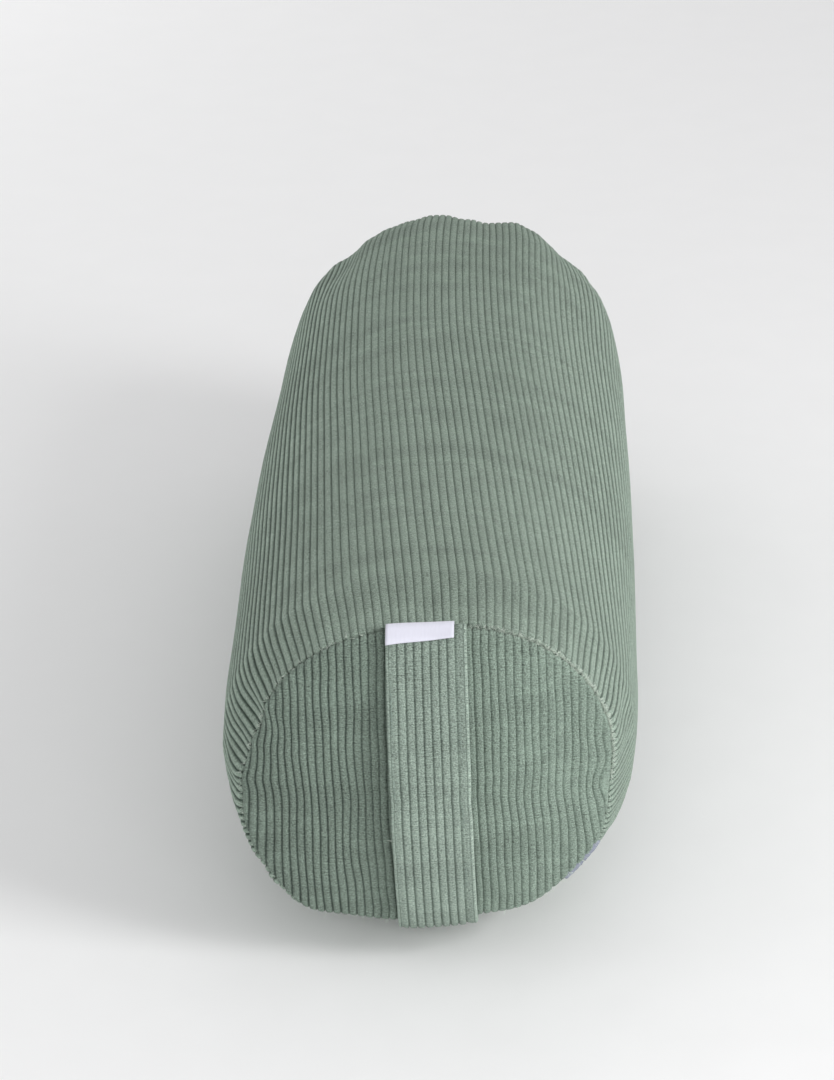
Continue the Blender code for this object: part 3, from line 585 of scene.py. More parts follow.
def corduroy(name, crest, groove, closed, far_left=(-0.088, -0.035), tone=None, pale=None,
             folded=None):
    """Wide-wale cotton corduroy: cut pile brushed into soft ribs, so it takes light in
    woolly flecks and goes pale at a glancing angle. Its groove colour is painted shade,
    mixed in down in the grooves.

    closed is how much of that painted groove shade shows on the left (from far_left), on
    top and on the right. tone is an axis, a start and a stop on it, and the painted shade
    there. pale is how much lighter the sides are painted, a painted sheen, and folded how
    much lighter the strap's edges are painted, a painted highlight."""
    mat, tree, shader = finish_of(name, 0.92, Sheen_Weight=0.16, Sheen_Roughness=0.5,
                                  Specular_IOR_Level=0.12, Sheen_Tint=linear("DDE6DC"))
    cloth = add(tree, "ShaderNodeUVMap", uv_map="cloth")
    across = add(tree, "ShaderNodeSeparateXYZ", cloth)
    spot = add(tree, "ShaderNodeSeparateXYZ", add(tree, "ShaderNodeTexCoord", out="Object"))
    ragged = add(tree, RANGE, grain(tree, cloth, 1.3, 0.9), 0.0, 1.0, -0.10, 0.10)
    side = from_crest(tree, add(tree, MATH, across, 1 / WALE, ragged,
                                operation="MULTIPLY_ADD"))
    # Painted groove shade: how much of it shows on the left, on top and on the right
    left, top, right = closed
    to_left = add(tree, RANGE, spot, *far_left, left - top, 0.0)
    to_right = add(tree, RANGE, spot, 0.035, 0.095, 0.0, right - top)
    shows = add(tree, MATH, add(tree, MATH, to_left, to_right, operation="ADD"), top,
                operation="ADD")
    wide = add(tree, RANGE, shows, 0.3, 1.0, 0.78, 0.36)
    painted_groove_shade = add(tree, MATH, add(tree, RANGE, side, wide, 0.95, 0.0, 1.0), shows,
                    operation="MULTIPLY")
    # Real tufts are about 0.3 mm; these are drawn coarse enough to show
    fleck = grain(tree, cloth, 1.0, 0.75, 2.0, 0.7)
    tuft = grain(tree, cloth, 2.8, 0.75, 2.0)
    brushed = grain(tree, cloth, 8.0, 20.0, 3.0)
    pressed = grain(tree, cloth, 240.0, 34.0, 3.0, 0.55)
    crease = add(tree, MATH, add(tree, MATH, pressed, 0.5, operation="SUBTRACT"),
                 operation="ABSOLUTE")
    value = add(tree, RANGE, fleck, 0.3, 0.7, 0.56, 1.44)
    for source, low, high, less, more in ((tuft, 0.3, 0.7, -0.20, 0.20),
                                          (brushed, 0.3, 0.7, -0.08, 0.08),
                                          (pressed, 0.35, 0.65, -0.08, 0.08),
                                          (crease, 0.0, 0.016, 0.14, 0.0)):
        value = add(tree, MATH, value, add(tree, RANGE, source, low, high, less, more),
                    operation="ADD")
    # Painted shade and light: tone along an axis, pale as a painted sheen on the sides, folded
    # as a painted highlight on the strap's edges
    shades = []
    if tone:
        shades.append((spot.node.outputs[tone[0]], *tone[1:]))
    if pale:
        shades.append((shows, top, 1.0, 1.0, pale))
    if folded:
        off = add(tree, MATH, add(tree, MATH, across, 0.5 * WALE, operation="SUBTRACT"),
                  operation="ABSOLUTE")
        shades.append((off, 4.6 * WALE, 4.8 * WALE, 1.0, folded))
    for shade in shades:
        value = add(tree, MATH, value, add(tree, RANGE, *shade), operation="MULTIPLY")
    # The groove colour mixed in here is painted shade
    hue = add(tree, "ShaderNodeMix", painted_groove_shade, at={6: linear(crest), 7: linear(groove)},
              data_type="RGBA", out=2)
    pile = add(tree, MATH, tuft, 0.8, fleck, operation="MULTIPLY_ADD")
    dress(tree, shader, hue, value, pile, 0.9, 1.3)
    return mat


def woven(name, colour, thread_mm, roughness, sheen, depth_mm, uneven):
    """Plain or satin weave: threads over and under, a little uneven, in one colour."""
    mat, tree, shader = finish_of(name, roughness, Sheen_Weight=sheen)
    cloth = add(tree, "ShaderNodeUVMap", uv_map="cloth")
    cells = add(tree, "ShaderNodeMapping", cloth,
                at={"Scale": (1000 / thread_mm, 1000 / thread_mm, 1.0)})
    weft, warp = (add(tree, "ShaderNodeTexWave", cells, 0.5, 0.6, out=1, bands_direction=way)
                  for way in "XY")
    height = add(tree, MATH, weft, warp, operation="MULTIPLY")
    slub = grain(tree, cloth, thread_mm * 3, thread_mm * 14, 3.0)
    value = add(tree, MATH, add(tree, RANGE, slub, 0.3, 0.7, 1 - uneven, 1 + uneven),
                add(tree, RANGE, height, 0.0, 1.0, -uneven, uneven), operation="ADD")
    dress(tree, shader, linear(colour)[:3], value, height, 0.5, depth_mm)
    return mat


def grained(name, colour, cell_mm, roughness, uneven, depth_mm, metallic=0.0, **sockets):
    """A finish whose grain follows the object itself: thread, nylon, zinc, floss or paper."""
    mat, tree, shader = finish_of(name, roughness, metallic, **sockets)
    noise = add(tree, NOISE, add(tree, "ShaderNodeTexCoord", out="Object"),
                at={"Scale": 1000 / cell_mm, "Detail": 3.0})
    rough = add(tree, RANGE, noise, 0.3, 0.7, roughness * 0.85, min(1.0, roughness * 1.15))
    tree.links.new(rough, shader["Roughness"])
    value = add(tree, RANGE, noise, 0.3, 0.7, 1 - uneven, 1 + uneven)
    dress(tree, shader, linear(colour)[:3], value, noise, 0.4, depth_mm)
    return mat


MAT = {
    # Cut pile; painted shade in its grooves, most on the left and least on top, and a painted
    # sheen lightening its sides
    "body": corduroy("corduroy_cut_pile_body", "88978B", "334139", (1.0, 0.14, 0.80),
                     pale=1.25),
    # The same cloth; painted shade in its grooves, most on the left and least on the right, and
    # painted shade over the disc, darker on the left and lighter on the right
    "ends": corduroy("corduroy_cut_pile_ends", "849488", "435149", (0.72, 0.28, 0.12),
                     (-0.05, 0.015), tone=("X", -0.09, 0.09, 0.79, 1.09)),
    # The same cloth; even painted shade in its grooves, a painted shade lighter at its foot and
    # darker towards its top, and a painted highlight along its folded edges
    "strap": corduroy("corduroy_cut_pile_strap", "909F94", "46554C", (0.55, 0.55, 0.55),
                      tone=("Z", 0.04, 0.17, 1.10, 0.95), folded=1.12),
    # Polyester satin, woven so fine that it only reads as a faint even grain
    "label": woven("satin_woven_label", "D5D5E1", 0.35, 0.5, 0.2, 0.04, 0.02),
    # Polyester zip tape, a dull close weave with a lilac cast
    "tape": woven("polyester_woven_tape", "9096A6", 0.5, 0.8, 0.15, 0.12, 0.08),
    # Unbleached cotton calico, matt with small slubs
    "lining": woven("cotton_calico", "E4DFD2", 0.45, 0.9, 0.1, 0.1, 0.06),
    # Loose kapok, a pale yellow floss
    "kapok": grained("kapok_floss", "E9DDBE", 6.0, 1.0, 0.12, 1.5, Sheen_Weight=0.3),
    # Drawn nylon, smooth and faintly shiny
    "coil": grained("nylon_drawn_coil", "9EA4B0", 1.5, 0.42, 0.04, 0.02),
    # Polyester sewing thread, matt and round, and the same in the zip's grey
    "thread": grained("polyester_thread", "82938A", 0.3, 0.7, 0.08, 0.05),
    "bar": grained("polyester_thread_bars", "9199A6", 0.3, 0.7, 0.08, 0.05),
    # Zinc cast and tumbled, a soft grey metal with a cloudy gloss
    "zinc": grained("zinc_die_cast_tumbled", "B4B7BC", 1.2, 0.34, 0.05, 0.03, 1.0),
    # Loose cotton fibres off the cut edge of the corduroy
    "fibre": grained("cotton_loose_fibre", "DCE6DB", 0.5, 0.9, 0.06, 0.02),
}
RIBS = rib_tree()
STITCH = repeat_tree("stitches", {"Length": STITCH_LONG, "Thread": STITCH_THICK}, stitch_shape)
COIL = repeat_tree("coil_loops", {"High": COIL_HIGH - LOOP_IN, "Wide": COIL_WIDE - LOOP_IN,
                                  "Wire": COIL_WIRE}, loop_shape)
FUZZ = repeat_tree("loose_fibres", {"Length": FIBRE_LONG, "Thread": FIBRE_THICK}, fibre_shape,
                   loose=0.9, seed=11)


def wale_steps(first, last):
    """Columns of the wales between two counts, as counts."""
    return np.concatenate([i + np.array(RIB_STEPS) for i in range(first, last)] + [[last]])


# Body panel of the cover
# How far the cloth of each end runs straight and then bends, by the way it faces in degrees
FACES = (-180, -150, -90, -30, 0, 40, 80, 100, 125, 150, 170, 180)
BENT = {-1: (0.30, 0.10, 0.0, 0.10, 0.40, 0.60, 0.70, 0.85, 1.0, 0.75, 0.45, 0.30),
        1: (0.0, 0.0, 0.0, 0.0, 0.10, 0.20, 0.30, 0.30, 0.10, 0.0, 0.0, 0.0)}
BEND = 0.041                # from the bend to the seam
BEND_SOFT = 0.05            # how softly it bends
# Small lumps on the bend: the way they face, half width in degrees, height
LUMPS = {-1: ((120, 6, 0.0010), (133, 5, 0.0013), (146, 6, 0.0010), (-8, 3, 0.0010),
              (-17, 3, 0.0015), (-26, 3, 0.0014)),
         1: ((110, 8, 0.0010), (88, 6, 0.0008))}
# The wales of the cover lie askew round the pillow, but for those along the zip
TWIST = 0.095               # their slope against the bolster's length, in the near half
TWIST_ENDS = 0.25           # past the middle they straighten up, and lie straight from here
TWIST_EVEN = 0.09           # shares the turn out evenly between both ends
TWIST_AT = (0.017, 0.107, 0.150, 0.250, 0.450, GIRTH - 0.017)      # way round from the zip
TWIST_SHARE = (0.0, 1.05, 1.05, 0.80, 0.80, 0.0)       # and the share of the turn there
WAVER = 0.00028             # how far single wales stray from their line
# Raw edge turned into the end seam: shares of the allowance, and how much pile is left there
TURNED_IN = {0.12: 1.0, 0.3: 0.8, 0.6: 0.3, 1.0: 0.1}


def end_share(s, end, a):
    """Share of the draw-in reached here, between a round and a bent shoulder."""
    bent = np.interp(faces_at(s), FACES, BENT[end])
    t = 1 - ROUNDING * (1 - math.sin(a)) / BEND
    line = (t + math.hypot(t, BEND_SOFT)) / (1 + math.hypot(1, BEND_SOFT))
    return drawn_share(s, a) * (1 - bent) + line * bent


def pucker(s, end, a):
    """How far the drawn-in cloth stands out here: folds that die out along the body."""
    share = math.sin(a)
    near_seam = smooth((a - 0.35) / 0.9) * smooth((math.pi / 2 - a) / 0.22)
    count = s / GIRTH
    # 26 narrow folds round the end, and 9 wide ones
    fold = waves(count * 26 + 2 * end, share * 1.5, 5 + end) * 0.0007
    fold = fold + waves(count * 9, share * 1.2 + end, 15 + end) * 0.0010
    out = (fold + 0.0004) * near_seam * smooth((from_zip(s) - 0.03) / 0.03)
    bend = ROUNDING * (1 - share) / BEND
    crest = smooth(1.35 - bend) * smooth(bend * 1.6 - 0.1) if end < 0 else near_seam
    for face, wide, high in LUMPS[end]:
        out = out + high * bell(faces_at(s) - face, wide) * crest
    return out


def wander(s, row):
    """How far round the section the wales lie from straight lines at this station."""
    end, kind, t = row
    y = t if kind == "straight" else end * (
        STRAIGHT + ROUNDING * (math.sin(t) if kind == "end" else 1.0))
    past = min(max(y, 0.0), TWIST_ENDS)
    turned = TWIST * (min(y, 0.0) + past - past ** 2 / (2 * TWIST_ENDS) + TWIST_EVEN)
    share = np.interp(s % GIRTH, TWIST_AT, TWIST_SHARE)
    sway = waves(s / 0.06, y / 0.16, 31) * WAVER
    return turned * share + sway * smooth((from_zip(s) - 0.012) / 0.02)


def panel_row(s, depth, row):
    """Points of one station at these places round the section and depths."""
    end, kind, t = row
    s = s + wander(s, row)
    if kind == "straight":
        return place(s, depth, t)
    seam = seam_y(s, end)
    drawn = draw_in(s, end)
    if kind == "in":
        return place(s, drawn + ALLOWANCE * t, end * (seam - depth))
    y = STRAIGHT + (seam - STRAIGHT - depth) * math.sin(t)
    return place(s, depth + drawn * end_share(s, end, t) - pucker(s, end, t), end * y)


def panel_columns(main, level, radius, under):
    """Columns of one face of the panel, from fold to fold: way round (s) and depth."""
    turn = np.radians(np.linspace(90, -90, 7))
    back = EDGE + HEM * np.array([1, 0.75, 0.5, 0.25])
    s = np.concatenate([back, EDGE_MIDDLE - radius * np.cos(turn)])
    depth = np.concatenate([np.full(4, under), FOLD / 2 + radius * np.sin(turn)])
    return (np.concatenate([s, main, GIRTH - s[::-1]]),
            np.concatenate([depth, np.full(len(main), level), depth[::-1]]), len(s))


def body_panel():
    """The corduroy wrapped round the pillow, folded under at the zip and both ends."""
    count = round((GIRTH - 2 * EDGE_MIDDLE) / WALE)
    steps = wale_steps(0, count)
    main = EDGE_MIDDLE + (GIRTH - 2 * EDGE_MIDDLE) * steps / count
    every = len(RIB_STEPS)
    rows = stations(np.linspace(0, 90, 26), 35, *(("in", share) for share in TURNED_IN))
    s, depth, fringe = panel_columns(main[1:-1], 0.0, FOLD / 2, FOLD)
    outer = np.array([panel_row(s, depth, row) for row in rows])
    thin_s, thin_depth, _ = panel_columns(main[every:-1:every], CLOTH, GAP / 2, FOLD - CLOTH)
    inner = np.array([panel_row(thin_s, thin_depth, row) for row in rows])
    cols = len(s)
    # The inner face has one column to a wale
    pick = [*range(fringe), *(fringe - 1 + every * k for k in range(1, count)),
            *range(cols - fringe, cols)]
    points, faces = sheet_mesh(outer, inner, pick=pick)
    hem_wale = (s[:fringe] - EDGE_MIDDLE) / WALE
    wale = np.concatenate([hem_wale, steps[1:-1], count - hem_wale[::-1]])
    pressed = np.zeros(cols)
    pressed[fringe:-fringe] = 1.0
    pressed[fringe - 3:fringe] = (0.3, 0.6, 0.9)
    pressed[-fringe:-fringe + 3] = (0.9, 0.6, 0.3)
    upright = [TURNED_IN[row[2]] if row[1] == "in" else 1.0 for row in rows]
    cloth = cloth_map(arc_along(outer[:, cols // 2]), wale * WALE,
                      np.linspace(0, count * WALE, len(thin_s)))
    return soft_piece("cover_body", points, faces, MAT["body"], cloth,
                      np.tile(wale, len(rows)), np.outer(upright, pressed).ravel())


# End discs of the cover
WALE_OFF = 0.35             # the middle of a disc lies this far into a wale
SIDE_ROOM = 0.0004          # from a disc's side to its nearest column
DISC_ROWS = 73
DISC_TILT = (STRAP_TOP_X - STRAP_FOOT_X) / (SEAM_TOP - SEAM_FOOT)      # as the strap's
KINK_X, KINK_Z = 0.093, 0.106           # where the near disc's wales are crumpled
KINK_HIGH = 0.0017
BACK = HALF + GAP           # Y of the turned-in rim, against the panel's
RIM = FOLD / 2              # radius of the fold at the rim


def disc_columns(end):
    """Places across the disc of its wale columns, their wale count and their Z limits."""
    a = (RING_A - GAP) * 0.9993         # just short of the side, where no height is left
    count = int(a / END_WALE) + 1
    steps = wale_steps(-count, count)
    p = (steps + WALE_OFF) * END_WALE
    keep = np.abs(p) < a - SIDE_ROOM
    p = np.concatenate([[-a], p[keep], [a]])
    wale = np.concatenate([[-a / END_WALE - WALE_OFF], steps[keep], [a / END_WALE - WALE_OFF]])

    def outside(z):
        x = p + DISC_TILT * z - end * SEAM_SHIFT
        return ring_share(x, z + SEAM_MIDDLE, end)[0] > 1
    limits = [up * halve(len(p), RING_B, lambda far: outside(up * far)) for up in (-1, 1)]
    return p, wale, limits


def disc_layers(x, z, end):
    """Outer and inner face of the disc over these places, and the way out to its rim."""
    k, du, dw = ring_share(x, z, end)
    size = np.hypot(du, dw)
    inwards = (1 - k) / size
    rim = np.clip(RIM - np.maximum(inwards, 0), 0, RIM)
    swell = waves(x / 0.07, z / 0.07, 40 + end) * 0.0007 * smooth(inwards / 0.03)
    y = BACK + RIM + np.sqrt(RIM ** 2 - rim ** 2) + CROWN * (1 - k ** 2) + swell
    out = np.stack([du / size, 0 * x, dw / size], -1)
    outer = np.stack([x, end * y, z], -1)
    inner = outer - out * (CLOTH * smooth((k - 0.9) / 0.1))[..., None] - (0, end * CLOTH, 0)
    return (layer.reshape(-1, 3) for layer in (outer, inner, out))


def end_disc(name, end):
    """A crowned disc whose rim turns back under itself into the seam."""
    p, wale, (low, high) = disc_columns(end)
    even = np.linspace(0, 1, DISC_ROWS)
    t = 0.55 * even + 0.45 * (1 - np.cos(math.pi * even)) / 2      # closer near the rim
    z = low + (high - low) * t[:, None]
    x = p + DISC_TILT * z - end * SEAM_SHIFT
    z = z + SEAM_MIDDLE
    sway = waves(x / 0.03, z / 0.05, 50 + end) * 0.00035 + waves(x / 0.2, z / 0.09, 52) * 0.0006
    k, _, _ = ring_share(x, z, end)
    x = x + sway * smooth((1 - k) / 0.12)
    if end < 0:
        kink = bell(x - KINK_X, 0.007) * bell(z - KINK_Z, 0.022) * smooth((1 - k) / 0.03)
        x = x + KINK_HIGH * kink * np.sin((z - KINK_Z) / 0.0048)
    rows, cols = x.shape
    spots = np.arange(rows * cols).reshape(rows, cols)
    edge = np.concatenate([spots[0], spots[1:, -1], spots[-1, -2::-1], spots[-2:0:-1, 0]])
    n, m = rows * cols, len(edge)
    outer, inner, out = disc_layers(x, z, end)
    loops = [(RIM * (math.cos(a) - 1), BACK + RIM + RIM * math.sin(a))
             for a in np.radians((-22, -45, -68, -90))]
    loops += [(-ALLOWANCE / 2, BACK), (-ALLOWANCE, BACK), (-ALLOWANCE, BACK + CLOTH),
              (-ALLOWANCE / 2, BACK + CLOTH), (-RIM, BACK + CLOTH), (-CLOTH, BACK + RIM)]
    turned = [outer[edge] * (1, 0, 1) + out[edge] * step + (0, end * y, 0)
              for step, y in loops]
    points = np.concatenate([outer, inner, *turned])
    faces = grid_faces(rows, cols) + [f[::-1] for f in grid_faces(rows, cols, start=n)]
    chain = [edge, *(2 * n + i * m + np.arange(m) for i in range(len(loops))), edge + n]
    for a, b in zip(chain, chain[1:]):
        faces += np.stack([np.roll(a, -1), a, b, np.roll(b, -1)], -1).tolist()
    count = np.tile(wale, 2 * rows)
    count = np.concatenate([count, np.tile(count[edge], len(loops))])
    pile = np.concatenate([np.ones(n), np.zeros(n), np.repeat((1.0, 0.9, 0.65, 0.35), m)])
    cloth = np.stack([count * WALE, points[:, 2]], -1)
    return soft_piece(name, points, faces, MAT["ends"], cloth, count, pile)


# Carry strap
FOLD_COUNT = 0.16           # wales counted per radian round its folded edges
STRAP_TURNS = 58            # angle, round the fold of the rim, at which it leaves the rim
SEAM_ROWS = 9               # rows of it round the rim, each way
SPAN_ROWS = 44              # and between them
SEWN_IN = 0.30              # share of its thickness that the stitches press it together
STRAP_HOLLOW = 0.00012      # half the slit that is left between its two layers


def dome(share):
    """Distance of the disc's crests from the middle, this share of the way out to its rim."""
    return BACK + FOLD + CROWN * (1 - share ** 2)


def strap_x(z):
    """X of the strap's middle at this height: it is sewn a little askew."""
    share = np.clip((z - SEAM_FOOT) / (SEAM_TOP - SEAM_FOOT), 0, 1)
    return STRAP_FOOT_X + (STRAP_TOP_X - STRAP_FOOT_X) * share


def strap_seam(x, up):
    """Rows of the strap from inside the seam round its rim, and the height of that rim."""
    u = np.abs((x - SEAM_SHIFT) / (RING_A - GAP))
    rim = SEAM_MIDDLE + up * (RING_B - GAP) * (1 - u ** SEAM_POWER) ** (1 / SEAM_POWER)
    middle = BACK + FOLD / 2
    centre = rim - up * FOLD / 2
    close = FOLD / 2 + GAP + STRAP_IN_SEAM / 2
    rows = [(middle - close, centre - up * STRAP_CAUGHT, STRAP_IN_SEAM, -1.0, 0.0)]
    for share in np.linspace(0, 1, SEAM_ROWS):
        thick = STRAP_IN_SEAM + (STRAP_THICK - STRAP_IN_SEAM) * smooth(share * 1.8 - 0.8)
        a = math.radians(180 - (180 - STRAP_TURNS) * share)
        r = FOLD / 2 + GAP + thick / 2
        rows.append((middle + r * math.cos(a), centre + up * r * math.sin(a), thick,
                     math.cos(a), up * math.sin(a)))
    return rows, rim


def strap_line(x):
    """Middle line of the strap, this far across it: Y, Z, thickness and facing per row."""
    upper, top = strap_seam(x + STRAP_TOP_X, 1)
    lower, foot = strap_seam(x + STRAP_FOOT_X, -1)
    lower = lower[::-1]
    span = []
    for q in np.linspace(0, 1, SPAN_ROWS + 2)[1:-1]:
        z = upper[-1][1] + (lower[0][1] - upper[-1][1]) * q
        rise = z - SEAM_MIDDLE
        share = rise / (top - SEAM_MIDDLE) if rise > 0 else rise / (foot - SEAM_MIDDLE)
        proud = STRAP_PROUD * math.sin(math.pi * q ** STRAP_HIGH_SIDE) ** 0.75
        span.append((dome(share) + GAP + proud + STRAP_THICK / 2, z))
    chain = np.array([upper[-1][:2]] + span + [lower[0][:2]])
    step = chain[2:] - chain[:-2]
    step /= np.linalg.norm(step, axis=1, keepdims=True)
    rows = [(y, z, STRAP_THICK, -up, out) for (y, z), (out, up) in zip(span, step)]
    return np.array(upper + rows + lower)


def strap_profile():
    """The strap's section: place across, height share, wale count and pile."""
    radius = STRAP_THICK / 2
    inside = STRAP_WIDE / 2 - radius
    steps = np.arange(-inside + 0.0002, inside, STRAP_WALE / 7)
    crest = math.floor(inside / STRAP_WALE + 0.5) + 0.5      # the folded edges show pile
    low = [(x, -1.0, x / STRAP_WALE + 0.5, 1.0) for x in steps]
    top = [(x, -v, w, p) for x, v, w, p in low[::-1]]
    left = [(-inside - radius * math.cos(a), math.sin(a), -crest + FOLD_COUNT * abs(a), 0.3)
            for a in np.radians(np.linspace(90, -90, 9))[1:-1]]
    right_low = [(inside + radius * math.cos(a), -math.sin(a),
                  crest + 1.0 - FOLD_COUNT * a, 0.2) for a in np.radians((72, 52, 32, 14))]
    right_top = [(x, -v, w, p) for x, v, w, p in right_low[::-1]]
    return np.array(right_top + top + left + low + right_low)


def carry_strap():
    """Corduroy folded double and top stitched, its ends in the end seam."""
    profile = strap_profile()
    outer, inner = [], []
    for x, v, _, _ in profile:
        y, z, thick, out_y, out_z = strap_line(x).T
        sewn = bell(x - SEW_RIGHT, SEW_WIDE) + bell(x - SEW_LEFT, SEW_WIDE)
        wave = waves(np.full(len(z), x / 0.04), z / 0.045, 61) * 0.0004
        wave = wave * smooth((z - SEAM_FOOT) / 0.03) * smooth((SEAM_TOP - z) / 0.03)
        within = max(x, CLOTH - STRAP_WIDE / 2)
        for grid, at, h in ((outer, x, v * thick / 2 * (1 - SEWN_IN * sewn)),
                            (inner, within, v * STRAP_HOLLOW)):
            grid.append(np.stack([at + strap_x(z), -(y + h * out_y + wave),
                                  z + h * out_z], -1))
    points, faces = sheet_mesh(*(np.array(grid).transpose(1, 0, 2) for grid in (outer, inner)))
    line = strap_line(0.0)
    rows = np.arange(len(line))
    _, _, wale, pile = profile.T
    seen = 0.35 + 0.65 * smooth(np.minimum(rows, rows[::-1]) / 8)
    cloth = cloth_map(arc_along(line[:, :2]), wale * WALE, wale * WALE)
    return soft_piece("carry_strap", points, faces, MAT["strap"], cloth,
                      np.tile(wale, len(rows)), np.outer(seen, pile).ravel())


def resample(path, step):
    """A path's points at even spacing, with its direction at each."""
    arc = arc_along(path)
    at = np.arange(step / 2, arc[-1], step)
    points, ahead = (np.stack([np.interp(a, arc, path[:, k]) for k in range(3)], -1)
                     for a in (at, at + step / 4))
    along = ahead - points
    return points, along / np.linalg.norm(along, axis=1, keepdims=True)


def strap_stitching():
    """Two rows of top stitching on the front of the strap."""
    sets = []
    for x in (SEW_RIGHT, SEW_LEFT):
        y, z, thick, out_y, out_z = strap_line(x)[SEAM_ROWS - 1:1 - SEAM_ROWS].T
        h = thick / 2 * (1 - SEWN_IN) - STITCH_DEEP
        path = settle(np.stack([x + strap_x(z), -(y + h * out_y), z + h * out_z], -1))
        sets.append(resample(path, STITCH_STEP))
    points, along = (np.concatenate(part) for part in zip(*sets))
    return run_of("strap_stitching", points, along, (0, -1, 0), STITCH, MAT["thread"])


# Label
def label_column(x, far, near):
    """Down the label's front face, round its lower fold and up the back, at this X."""
    line = strap_line(x + LABEL_X) * (1, 1, 0.5, 1, 1)
    rows = [line[1] - (0, LABEL_CAUGHT, 0, 0, 0), *line[1:SEAM_ROWS + 1]]
    below = line[SEAM_ROWS:SEAM_ROWS + 11]
    arc = arc_along(below[:, :2])
    for q in np.linspace(0.12, 1.0, 7):
        at = [np.interp((LABEL_DROP - LABEL_TILT * x) * q, arc, values) for values in below.T]
        facing = np.array(at[3:]) / np.hypot(*at[3:])
        lift = LABEL_CURL * smooth(x / LABEL_WIDE * 2) ** 2 * q * q
        rows.append((at[0], at[1], at[2] + lift, *facing))
    fold = [((far + near + (far - near) * math.sin(a)) / 2, (far - near) / 2 * math.cos(a))
            for a in np.radians((45, 0, -45))]
    spots = [(row, far, 0.0) for row in rows] + [(rows[-1], h, d) for h, d in fold]
    spots += [(row, near, 0.0) for row in rows[::-1]]
    return [(x + LABEL_X + STRAP_TOP_X, -(y + (half + h) * out_y + d * out_z),
             z + (half + h) * out_z - d * out_y)
            for (y, z, half, out_y, out_z), h, d in spots]


def label():
    """Bare woven label folded in two, sewn into the seam over the strap."""
    xs = np.linspace(-LABEL_WIDE / 2, LABEL_WIDE / 2, 25)
    far = GAP + LABEL_THICK
    grids = [np.array([label_column(x, far - layer, GAP + layer) for x in xs])
             .transpose(1, 0, 2) for layer in (0.0, LABEL_LAYER)]
    points, faces = sheet_mesh(*grids)
    cloth = cloth_map(np.linspace(0, 0.05, len(grids[0])), xs, xs)
    return soft_piece("label", points, faces, MAT["label"], cloth)


# Zip
TAPE_CUT = 0.0005           # how far the tapes' far ends stand out of the seam


def tape_row(s, depth, row):
    """Points of one station of a tape: down the allowance, round it and out of the seam."""
    end, kind, t = row
    if kind == "straight":
        return place(s, depth, t)
    seam = seam_y(s, end)
    if kind == "end":
        y = STRAIGHT + (seam - STRAIGHT - depth) * math.sin(t)
        return place(s, depth + draw_in(s, end) * end_share(s, end, t), end * y)
    reach = depth - FOLD / 2
    if end < 0:                 # askew, and the two tapes' edges together at their ends
        askew = 0.3 * (t + 90) / 180 if kind == "round" else 0.3 + 0.7 * t
        s = s - (COIL_HALF_GAP - GAP) * np.sign(s) * (1 - np.abs(s) / TAPE_WIDE) * askew
        s = s + TAPE_ASKEW * askew
    drawn = draw_in(s, end)
    if kind == "round":
        a = math.radians(t)
        inset = drawn + ALLOWANCE + GAP + reach * math.cos(a)
        return place(s, inset, end * (seam - FOLD / 2 + reach * math.sin(a)))
    fray = TAPE_FRAY + waves(s / 0.002, 0.0, 5) * 0.0002 if end < 0 else TAPE_CUT
    return place(s, drawn - fray * t + ALLOWANCE * (1 - t), end * (seam + reach - FOLD / 2))


def zip_tape(name, side):
    """One half of the zip's tape, caught in both end seams."""
    half = np.linspace(COIL_HALF_GAP, TAPE_WIDE, 12)
    rows = stations(np.linspace(0, 90, 22), 31,
                    *(("round", a) for a in np.linspace(-90, 90, 9)),
                    *(("out", t) for t in (0.3, 0.6, 1.0)))
    grids = [np.array([tape_row(side * half, depth, row) for row in rows])
             for depth in (TAPE_TOP, TAPE_LOW)]
    points, faces = sheet_mesh(*grids)
    cloth = cloth_map(arc_along(grids[0][:, 5]), half, half)
    return soft_piece(name, points, faces, MAT["tape"], cloth)


def zip_path(s, depth, angle=84):
    """A line along the zip at this place and depth, from the far end to the near one."""
    rows = stations(np.linspace(0, angle, 24), 21)
    return settle([tape_row(np.array([s]), depth, row)[0] for row in rows])


def zip_coil(name, side):
    """One row of the coil: a nylon loop every 1.6 mm, leaning along the zip."""
    middle = side * (COIL_HALF_GAP + COIL_WIDE / 2)
    depth = TAPE_TOP - GAP - COIL_HIGH / 2
    points, along = resample(zip_path(middle, depth), COIL_STEP)
    above, _ = resample(zip_path(middle, depth - 0.001), COIL_STEP)
    count = min(len(points), len(above))
    points, along, above = points[:count], along[:count], above[:count]
    return run_of(name, points + along * (LOOP_LEAN * side), along, above - points, COIL,
                  MAT["coil"])


def hem_stitching():
    """A row of stitches through each folded edge of the panel beside the zip."""
    sets = []
    for s in (EDGE + HEM_SEWN, -EDGE - HEM_SEWN):
        points, along = resample(zip_path(s, STITCH_DEEP, angle=80), HEM_STEP)
        _, (x, z) = on_section(s)
        sets.append((points, along, np.tile([x, 0.0, z], (len(points), 1))))
    points, along, out = (np.concatenate(part) for part in zip(*sets))
    return run_of("zip_hem_stitching", points, along, out, STITCH, MAT["thread"])


